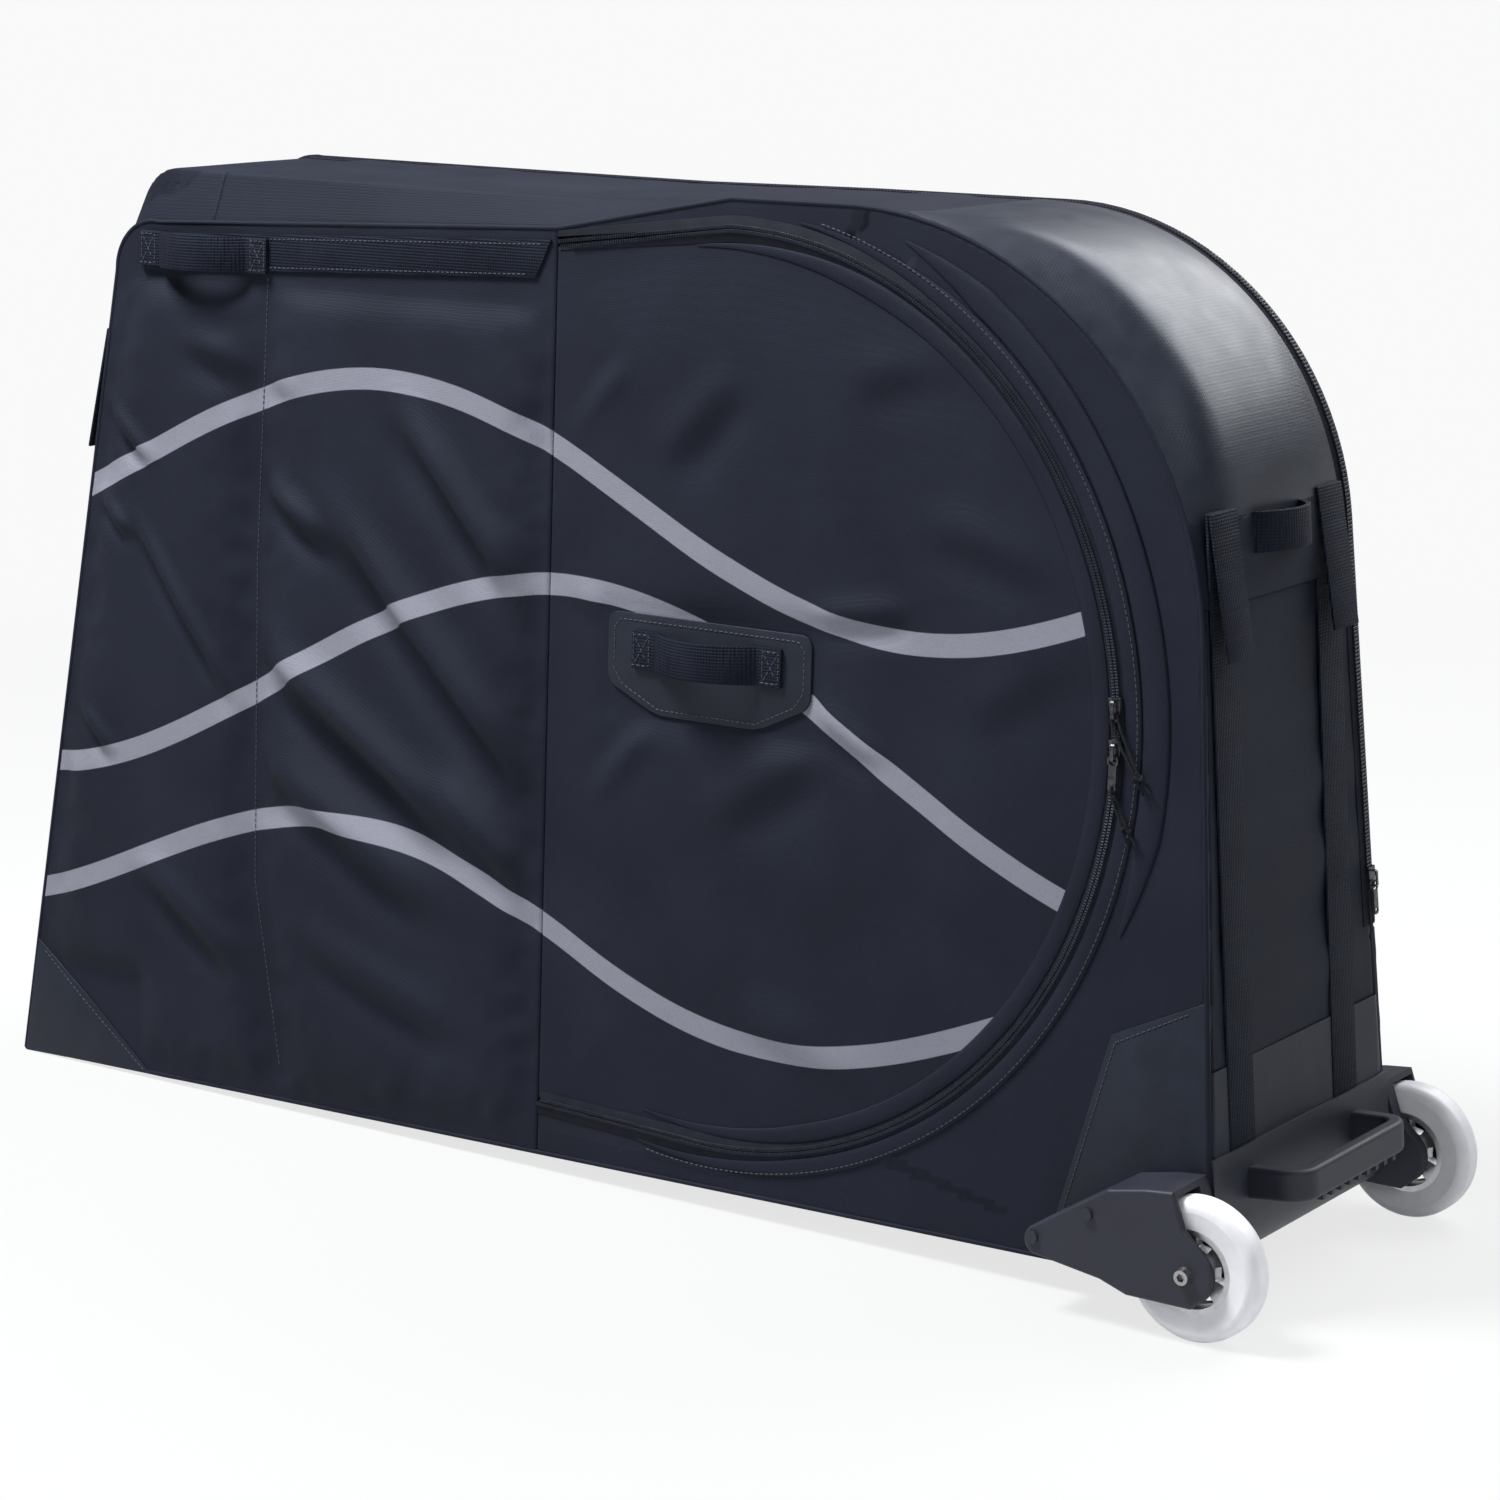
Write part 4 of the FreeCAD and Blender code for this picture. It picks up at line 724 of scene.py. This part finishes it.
piping_cloth = wall_cloth("piping_cloth", False)
bead = round_bead("near_piping", traced(near_outline), piping_radius, -0.001, side_frame("near"))
bead.data.materials.append(piping_cloth)
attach(bead, "case_body")


# Pocket and main zips: woven tape with a moulded coil along its edge, sewn to each side of an opening.
# One coil turn is modelled and repeated along the edge; the tape is the node's own strip with soft edges.
# The hems of the cloth are flat folds over both tapes, with a padded welt beyond them on the near side.
turn_pitch = 0.0024
coil_offset = 0.0018
coil_middle = 0.0023
zip_radius = 0.384
pocket_middle = (0.126, 0.440)
pocket_seam = -0.052
coil_turn = (0.0015, 0.0031, 0.0012)
hem_lift = 0.0008
hem_press = 0.2
hem_taper = 0.15
# The main zip's larger turns, their pitch, and how far they stand out from the middle of the side
main_turn = (0.0021, 0.0014, 0.0046)
main_pitch = 0.0032
main_stand = 0.00222
side_middle = np.array((0.0, 0.42, 0))

tape_weave, nodes, links, shader, place = new_material("zip_tape_weave")
tape_cloud = add_noise(nodes, links, place, 60)
paint(nodes, links, shader, tape_cloud, (0.007, 0.0085, 0.014), (0.012, 0.014, 0.021))
shader.inputs["Roughness"].default_value = 0.72
shader.inputs["Specular IOR Level"].default_value = 0.12
add_bump(nodes, links, shader, ((add_threads(nodes, links, place, 380), 0.5, 0.0002),))

coil_plastic, finish = grained(
    "zip_coil_plastic", (90, 4), (0.006, 0.0075, 0.013), (0.014, 0.017, 0.027), (0, 0.42), (0.15, 0.0002),
)
finish["Specular IOR Level"].default_value = 0.24
finish["Specular Tint"].default_value = blue_sheen


def pocket_path(reach, short):
    """The pocket's D line, moved out by reach, with both ends short of the straight seam."""
    radius = zip_radius + reach
    x, height = pocket_middle
    return traced((
        (pocket_seam + short, height - radius + 0.006),
        (x, height - radius, radius),
        (x + radius, height, radius),
        (x, height + radius),
        (pocket_seam + short, height + radius - 0.022),
    ), steps=60)


def pocket_arc(reach, first, last):
    """Points of a ring round the pocket, between two angles above its rearmost point."""
    radius = zip_radius + reach
    turns = [math.radians(first + (last - first) * step / 90) for step in range(91)]
    x, height = pocket_middle
    return [Vector((x + radius * math.cos(turn), height + radius * math.sin(turn))) for turn in turns]


def repeat_along(name, unit_size, pitch, points):
    """One small rounded block, repeated along points of a plane and bent to them."""
    bpy.ops.object.select_all(action="DESELECT")
    bpy.ops.mesh.primitive_cube_add(size=1)
    unit = bpy.context.object
    unit.name = name
    unit.scale = unit_size
    bpy.ops.object.transform_apply(location=False, rotation=False, scale=True)
    bpy.ops.object.mode_set(mode="EDIT")
    bpy.ops.mesh.select_all(action="SELECT")
    bpy.ops.mesh.bevel(offset=min(unit_size) * 0.3, segments=1)
    bpy.ops.object.mode_set(mode="OBJECT")
    guide = flat_curve(name + "_guide", points)
    length = sum((b - a).length for a, b in zip(points, points[1:]))
    row = unit.modifiers.new("row", "ARRAY")
    row.count = int(length / pitch)
    row.use_relative_offset = False
    row.use_constant_offset = True
    row.constant_offset_displace = (pitch, 0, 0)
    bend = unit.modifiers.new("bend", "CURVE")
    bend.object = guide
    bend.deform_axis = "POS_X"
    bpy.ops.object.modifier_apply(modifier=row.name)
    bpy.ops.object.modifier_apply(modifier=bend.name)
    bpy.data.objects.remove(guide)
    return unit


def tape_of(node, body):
    """The zip's woven strip, with softened edges."""
    tape = node_copy(node, node + "_tape")
    soften_edges(tape, 0.0003, 1, 35)
    tape.data.materials.append(tape_weave)
    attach(tape, body)
    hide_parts(node)


for side, surround_body, flap_body in (("near", "case_body", "near_flap"), ("far", "main_flap", "far_flap")):
    for edge_name, reach, short, body in (
        ("outer", coil_offset, 0.001, surround_body), ("inner", -coil_offset, 0.014, flap_body),
    ):
        tape_of("%s_zip_%s" % (side, edge_name), body)
        coil_name = "%s_coil_%s" % (side, edge_name)
        coil = repeat_along(coil_name, coil_turn, turn_pitch, pocket_path(reach, short))
        lay_on(coil, side_frame(side), coil_middle)
        coil.data.materials.append(coil_plastic)
        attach(coil, body)

for fold_name, side, body, reach, half, first, last in (
    ("near_surround_hem", "near", "case_body", 0.0140, 0.0080, -100, 80),
    ("near_flap_hem", "near", "near_flap", -0.0140, 0.0080, -100, 95),
    ("near_zip_welt", "near", "case_body", 0.0350, 0.0120, -20, 66),
    ("far_surround_hem", "far", "main_flap", 0.0140, 0.0080, -28, 80),
    ("far_flap_hem", "far", "far_flap", -0.0140, 0.0080, -100, 95),
):
    ring = pocket_arc(reach, first, last)
    fold = round_bead(fold_name, ring, half, hem_lift, side_frame(side), hem_press, hem_taper)
    fold.data.materials.append(plain_cloth)
    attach(fold, body)

far_zip_line = (
    (end_x(0.305), 0.305),
    (end_x(0.600), 0.600, 0.258),
    (0.314, 0.840),
    (0.126, 0.840),
    (-0.052, 0.838),
    (front_x(0.842) + corner_radius, 0.842, corner_radius),
    (front_x(0.797), 0.797),
    (front_x(0.045), 0.045),
)
for node, body in (("main_zip_gusset", "case_body"), ("main_zip_flap", "main_flap")):
    tape_of(node, body)
for coil_name, body, inset in (
    ("main_coil_gusset", "case_body", 0.0102), ("main_coil_flap", "main_flap", 0.0062),
):
    coil = repeat_along(coil_name, main_turn, main_pitch, traced(far_zip_line, steps=40))
    points = read_points(coil)
    points[:, 2] -= inset
    away = points - side_middle
    away[:, 2] = 0
    points += away / np.linalg.norm(away, axis=1)[:, None] * main_stand
    write_points(coil, points)
    lay_on(coil, side_frame("far"))
    coil.data.materials.append(coil_plastic)
    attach(coil, body)


# Zip sliders and the plate pull: die-cast zinc with a dark lacquer that is rubbed bright on its edges.
# The sliders are the nodes' own castings, so they only take their finish here.
lacquer, finish = grained(
    "slider_lacquer", (260, 5), (0.020, 0.021, 0.026), (0.105, 0.107, 0.118), (0.3, 0.16), (0.1, 0.0002),
)
finish["Metallic"].default_value = 0.85


def finish_node(node, material):
    """A rigid piece keeps its own shape and takes a finish."""
    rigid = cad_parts[node]
    rigid.data.materials.clear()
    rigid.data.materials.append(material)


for node in (
    "near_slider_upper", "near_slider_lower", "near_pull_lower", "far_slider_upper", "far_slider_lower",
    "main_slider",
):
    finish_node(node, lacquer)


# Pull cords: braided polyester, each one length doubled through its pull and tied in an overhand knot.
# The routes are in the slider's own frame: up along the zip, towards the pocket's middle, off the tape.
cord_diameter = 0.0022
knot_steps = 24
cord_braid, nodes, links, shader, place = new_material("cord_braid")
braid = add_noise(nodes, links, place, 900, 2)
paint(nodes, links, shader, braid, (0.006, 0.007, 0.010), (0.014, 0.015, 0.020))
shader.inputs["Roughness"].default_value = 0.7
shader.inputs["Specular IOR Level"].default_value = 0.15
add_bump(nodes, links, shader, ((add_threads(nodes, links, place, 300), 0.6, 0.0003),))
upper_route = (
    (-66, -24.5, 7), (-53, -19.5, 8.2), (-33, -8.2, 7.4), (-14, 2.2, 6.3), (-3.2, 3.2, 6.3),
    (-3.2, -3.2, 6.3), (-14, -4.8, 6.3), (-33, -13.4, 7.4), (-52.3, -22.2, 8.2), (-64, -30.5, 7),
)
lower_route = (
    (-72, -17.2, 7.6), (-58.5, -13.2, 8.6), (-45, -6.6, 8.8), (-34.5, -1.6, 9.3), (-26.9, 0, 9),
    (-26.9, 0, 3.8), (-34.5, -2, 4), (-45, -8, 5.2), (-58.8, -16, 7.6), (-70, -24, 7.2),
)


def zip_frame(angle):
    """The place of a slider on the pocket's zip line, at an angle above its rearmost point."""
    turn = math.radians(angle)
    x = pocket_middle[0] + zip_radius * math.cos(turn)
    height = pocket_middle[1] + zip_radius * math.sin(turn)
    spin = Matrix.Rotation(turn + math.pi / 2, 4, "Z")
    return side_frame("near") @ Matrix.Translation((x, height, 0)) @ spin


def smooth_line(name, points, closed=False):
    """A round cord along control points, as one smooth spline."""
    curve = bpy.data.curves.new(name, "CURVE")
    curve.dimensions = "3D"
    curve.bevel_depth = cord_diameter / 2
    curve.bevel_resolution = 4
    curve.use_fill_caps = True
    run = curve.splines.new("NURBS")
    run.points.add(len(points) - 1)
    for knot, point in zip(run.points, points):
        knot.co = (*point, 1)
    run.order_u = 3
    run.use_cyclic_u = closed
    run.use_endpoint_u = not closed
    run.resolution_u = 10
    line = bpy.data.objects.new(name, curve)
    scene.collection.objects.link(line)
    line.data.materials.append(cord_braid)
    return line


for cord_name, route, angle, body, length in (
    ("near_cord_upper", upper_route, 5.2, "near_upper_cord", 0.1406),
    ("near_cord_lower", lower_route, 0.2, "near_lower_pull", 0.1015),
):
    spot = zip_frame(angle)
    points = [spot @ (Vector(point) / 1000) for point in route]
    line = smooth_line(cord_name + "_line", points)
    first = (Vector(route[1]) + Vector(route[-2])) / 2
    along = (first - (Vector(route[2]) + Vector(route[-3])) / 2).normalized()
    apart = (Vector(route[-2]) - Vector(route[1])).normalized()
    over = along.cross(apart)
    knot_points = []
    for step in range(knot_steps):
        turn = 2 * math.pi * step / knot_steps
        reach = 3.2 + 0.8 * math.cos(3 * turn)
        shift = along * (1.6 * math.sin(3 * turn))
        ring = first + apart * reach * math.cos(turn) + over * reach * math.sin(turn)
        knot_points.append(spot @ ((ring + shift) / 1000))
    knot = smooth_line(cord_name + "_knot", knot_points, closed=True)
    for piece in (line, knot):
        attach(piece, body)
    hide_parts(cord_name)


# Webbing: straps round the case, hanging tabs, bands along the front panels and six grab handles.
# Woven polyester straps, folded double in the handles, cut hot and sewn down with boxes of stitches.
webbing_weave, nodes, links, shader, place = new_material("webbing_weave")
strap_cloud = add_noise(nodes, links, place, 30)
paint(nodes, links, shader, strap_cloud, (0.0058, 0.0074, 0.0138), (0.0098, 0.0122, 0.0210))
shader.inputs["Roughness"].default_value = 0.66
shader.inputs["Specular IOR Level"].default_value = 0.12
shader.inputs["Specular Tint"].default_value = blue_sheen
add_bump(nodes, links, shader, ((add_threads(nodes, links, place, 120), 0.7, 0.0006),))


def sewn_strip(node, body, material, round_edge, corner=0):
    """A flat strap or patch with the node's own cut, its edges softened and its corners rounded."""
    strip = node_copy(node, node + "_sewn")
    if corner:
        out = Vector(side_out(node.split("_")[0])[0])
        bpy.ops.object.mode_set(mode="EDIT")
        bpy.ops.mesh.dissolve_limited(angle_limit=math.radians(1))
        bpy.ops.mesh.select_mode(type="EDGE")
        bpy.ops.mesh.select_all(action="DESELECT")
        bpy.ops.object.mode_set(mode="OBJECT")
        spots = [point.co for point in strip.data.vertices]
        for line in strip.data.edges:
            run = spots[line.vertices[1]] - spots[line.vertices[0]]
            line.select = abs(run.normalized().dot(out)) > 0.99
        bpy.ops.object.mode_set(mode="EDIT")
        bpy.ops.mesh.bevel(offset=corner, segments=5)
        bpy.ops.object.mode_set(mode="OBJECT")
    soften_edges(strip, round_edge, 2, 35)
    strip.data.materials.append(material)
    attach(strip, body)
    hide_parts(node)


for node, body in (
    ("end_straps", "case_body"), ("end_tabs", "case_body"), ("near_front_band", "case_body"),
    ("far_front_band", "main_flap"), ("near_front_handle", "case_body"), ("far_front_handle", "main_flap"),
    ("near_pocket_handle", "near_flap"), ("far_pocket_handle", "far_flap"),
    ("wheel_end_handle", "case_body"), ("front_end_handle", "case_body"),
):
    sewn_strip(node, body, webbing_weave, 0.0008)
sewn_strip("corner_patches", "case_body", patch_coat, 0.0005)
for node, body in (("near_handle_patch", "near_flap"), ("far_handle_patch", "far_flap")):
    sewn_strip(node, body, patch_coat, 0.0005, corner=0.010)


# Stitching: rows of lockstitch along hems, patches, bands and darts, and crossed boxes on the handles' feet.
# Each row is one short stitch repeated along its line; lines are in the side's own plane.
thread = grained(
    "seam_thread", (1100, 2), (0.022, 0.025, 0.036), (0.045, 0.05, 0.066), (0, 0.6), (0.3, 0.0002),
)[0]
stitch_size = (0.0034, 0.0009, 0.0006)
stitch_pitch = 0.0052
# How far stitches lie off the side's plane: bare cloth, corner patch, hem, band or handle patch, handle
dart_lift = 0.0004
patch_lift = 0.0014
hem_thread_lift = 0.0022
band_lift = 0.0027
foot_lift = 0.0067
# A handle's feet: their distance from its middle, and half the width and height of the stitched box
foot_reach = 0.066
box_half = (0.008, 0.013)
band_edges = (((-0.522, 0.758), (-0.080, 0.775)), ((-0.522, 0.783), (-0.064, 0.801)))
front_patch_edge = ((-0.523, 0.0085), (-0.599, 0.062), (-0.655, 0.105))
rear_patch_edge = ((0.471, 0.034), (0.521, 0.212), (0.592, 0.249))
handle_patch_edge = (
    (0.021, 0.452), (0.030, 0.439), (0.068, 0.421), (0.168, 0.421), (0.206, 0.439), (0.215, 0.452),
    (0.215, 0.487), (0.209, 0.494), (0.027, 0.494), (0.021, 0.487), (0.021, 0.452),
)


def stitch_row(name, corners, lift, side, body):
    """A row of stitches along a line of corners on one side."""
    row = repeat_along(name, stitch_size, stitch_pitch, spaced(corners))
    lay_on(row, side_frame(side), lift)
    row.data.materials.append(thread)
    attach(row, body)


for side, case_side, flap_body in (("near", "case_body", "near_flap"), ("far", "main_flap", "far_flap")):
    stitch_row(side + "_dart_stitches", dart, dart_lift, side, case_side)
    for number, line in enumerate(band_edges):
        stitch_row("%s_band_stitches_%d" % (side, number), line, band_lift, side, case_side)
    stitch_row(side + "_patch_stitches", handle_patch_edge, band_lift, side, flap_body)
    stitch_row(side + "_rear_stitches", rear_patch_edge, patch_lift, side, "case_body")
    for handle, middle_x, middle_up, body in (
        ("front", -0.450, 0.7735, case_side), ("pocket", 0.118, 0.470, flap_body),
    ):
        for foot, x in (("fore", middle_x - foot_reach), ("aft", middle_x + foot_reach)):
            low = (x - box_half[0], middle_up - box_half[1])
            high = (x + box_half[0], middle_up + box_half[1])
            box = (low, (high[0], low[1]), high, (low[0], high[1]), low, high)
            cross = ((low[0], high[1]), (high[0], low[1]))
            stitch_row("%s_%s_%s_box" % (side, handle, foot), box, foot_lift, side, body)
            stitch_row("%s_%s_%s_cross" % (side, handle, foot), cross, foot_lift, side, body)
stitch_row("front_patch_stitches", front_patch_edge, patch_lift, "near", "case_body")
stitch_row("near_hem_stitches", pocket_arc(0.0185, -98, 78), hem_thread_lift, "near", "case_body")


# Wheels, guards and running gear: cast polyurethane tyres on spoked cores, shielded ball bearings,
# moulded guards riveted to the case, and steel axle bolts. All are the nodes' own shapes.
tyre_cast, finish = grained(
    "cast_tyre", (70, 6), (0.66, 0.67, 0.71), (0.74, 0.75, 0.79), (0, 0.38), (0.12, 0.0006),
)
finish["Subsurface Weight"].default_value = 0.08
finish["Subsurface Radius"].default_value = (0.004, 0.004, 0.004)
hub_cast, finish = grained(
    "hub_casting", (120, 4), (0.42, 0.43, 0.45), (0.58, 0.59, 0.61), (0.25, 0.2), (0.1, 0.0003),
)
finish["Metallic"].default_value = 0.9
bolt_steel, finish = grained(
    "bolt_steel", (320, 3), (0.30, 0.30, 0.31), (0.46, 0.46, 0.47), (0.2, 0.2), (0.08, 0.0002),
)
finish["Metallic"].default_value = 1.0


def moulded_plastic(name, colour, roughness):
    """Injection moulded plastic with a fine spark grain and faint scuffs."""
    material, nodes, links, shader, place = new_material(name)
    scuffs = add_noise(nodes, links, place, 24, 6)
    grain = add_noise(nodes, links, place, 1400, 2)
    paint(nodes, links, shader, scuffs, shade(colour, 0.85), shade(colour, 1.15))
    roughen(nodes, links, shader, scuffs, 0.15, roughness - 0.07)
    shader.inputs["Specular IOR Level"].default_value = 0.35
    add_bump(nodes, links, shader, ((grain, 0.25, 0.0002),))
    return material


guard_plastic = moulded_plastic("guard_plastic", (0.019, 0.021, 0.033), 0.52)
shield_plastic = moulded_plastic("shield_plastic", (0.03, 0.031, 0.036), 0.45)
tube_plastic = moulded_plastic("stay_tube_plastic", (0.10, 0.10, 0.11), 0.4)
for node, material, slot in (
    ("near_tyre", tyre_cast, "wheel_rubber"), ("far_tyre", tyre_cast, "wheel_rubber"),
    ("near_hub", hub_cast, "hub_metal"), ("far_hub", hub_cast, "hub_metal"),
    ("near_bearings", bolt_steel, "steel"), ("far_bearings", bolt_steel, "steel"),
    ("axle_bolts", bolt_steel, "steel"), ("axle_bushes", guard_plastic, "moulding"),
    ("guard_rivets", guard_plastic, "moulding"), ("near_guard", guard_plastic, "moulding"),
    ("far_guard", guard_plastic, "moulding"), ("base_shroud", guard_plastic, "moulding"),
    ("tow_handle", guard_plastic, "moulding"), ("near_hub_shield", shield_plastic, "shield"),
    ("far_hub_shield", shield_plastic, "shield"), ("end_stays", tube_plastic, "tube"),
):
    finish_node(node, material)


# Studio: a pale floor, a soft lamp over the left front, a weaker one at the right and a wide one behind.
# The camera looks at the near side and the wheel end, and a little down on the top.
floor_white, nodes, links, shader, place = new_material("studio_floor")
floor_cloud = add_noise(nodes, links, place, 0.6)
paint(nodes, links, shader, floor_cloud, (0.58, 0.585, 0.59), (0.60, 0.605, 0.61))
shader.inputs["Roughness"].default_value = 0.9
glow = nodes.new("ShaderNodeEmission")
glow.inputs["Color"].default_value = (0.945, 0.948, 0.948, 1)
rays = nodes.new("ShaderNodeLightPath")
seen = add_math(nodes, links, "MAXIMUM", rays.outputs["Is Camera Ray"], rays.outputs["Is Glossy Ray"])
seen = add_math(nodes, links, "MAXIMUM", seen, rays.outputs["Is Transmission Ray"])
blend = nodes.new("ShaderNodeMixShader")
span = nodes.new("ShaderNodeVectorMath")
span.operation = "LENGTH"
links.new(place, span.inputs[0])
share = nodes.new("ShaderNodeMapRange")
share.inputs["From Min"].default_value = 1.0
share.inputs["From Max"].default_value = 3.0
share.inputs["To Min"].default_value = 0.80
share.inputs["To Max"].default_value = 1.0
links.new(span.outputs["Value"], share.inputs["Value"])
links.new(add_math(nodes, links, "MULTIPLY", seen, share.outputs["Result"]), blend.inputs["Fac"])
links.new(shader.outputs["BSDF"], blend.inputs[1])
links.new(glow.outputs["Emission"], blend.inputs[2])
links.new(blend.outputs["Shader"], nodes["Material Output"].inputs["Surface"])
bpy.ops.object.select_all(action="DESELECT")
bpy.ops.mesh.primitive_circle_add(vertices=64, radius=80, fill_type="NGON")
floor = bpy.context.object
floor.name = "studio_floor"
floor.data.materials.append(floor_white)

world = bpy.data.worlds.new("studio_world")
scene.world = world
world.use_nodes = True
sky = world.node_tree.nodes["Background"]
sky.inputs["Color"].default_value = (0.93, 0.935, 0.94, 1)
sky.inputs["Strength"].default_value = 0.16
for lamp_name, spot, aim, size, power in (
    ("key_lamp", (-1.0, -1.15, 3.3), (0, 0, 0.45), 1.0, 210),
    ("fill_lamp", (3.8, -2.4, 2.6), (0.3, 0, 0.4), 2.0, 45),
    ("rim_lamp", (1.0, 2.4, 2.9), (0.4, 0, 0.7), 3.0, 150),
):
    bpy.ops.object.select_all(action="DESELECT")
    bpy.ops.object.light_add(type="AREA", location=spot)
    lamp = bpy.context.object
    lamp.name = lamp_name
    lamp.data.shape = "SQUARE"
    lamp.data.size = size
    lamp.data.energy = power
    lamp.rotation_euler = (Vector(aim) - Vector(spot)).to_track_quat("-Z", "Y").to_euler()

tilt = math.radians(90 - 12.45)
turned_by = math.radians(35.6)
bpy.ops.object.camera_add(location=(2.051, -2.772, 1.1145), rotation=(tilt, 0, turned_by))
camera = bpy.context.object
camera.data.sensor_width = 36
camera.data.lens = 96.72
scene.camera = camera
scene.view_settings.view_transform = "Standard"
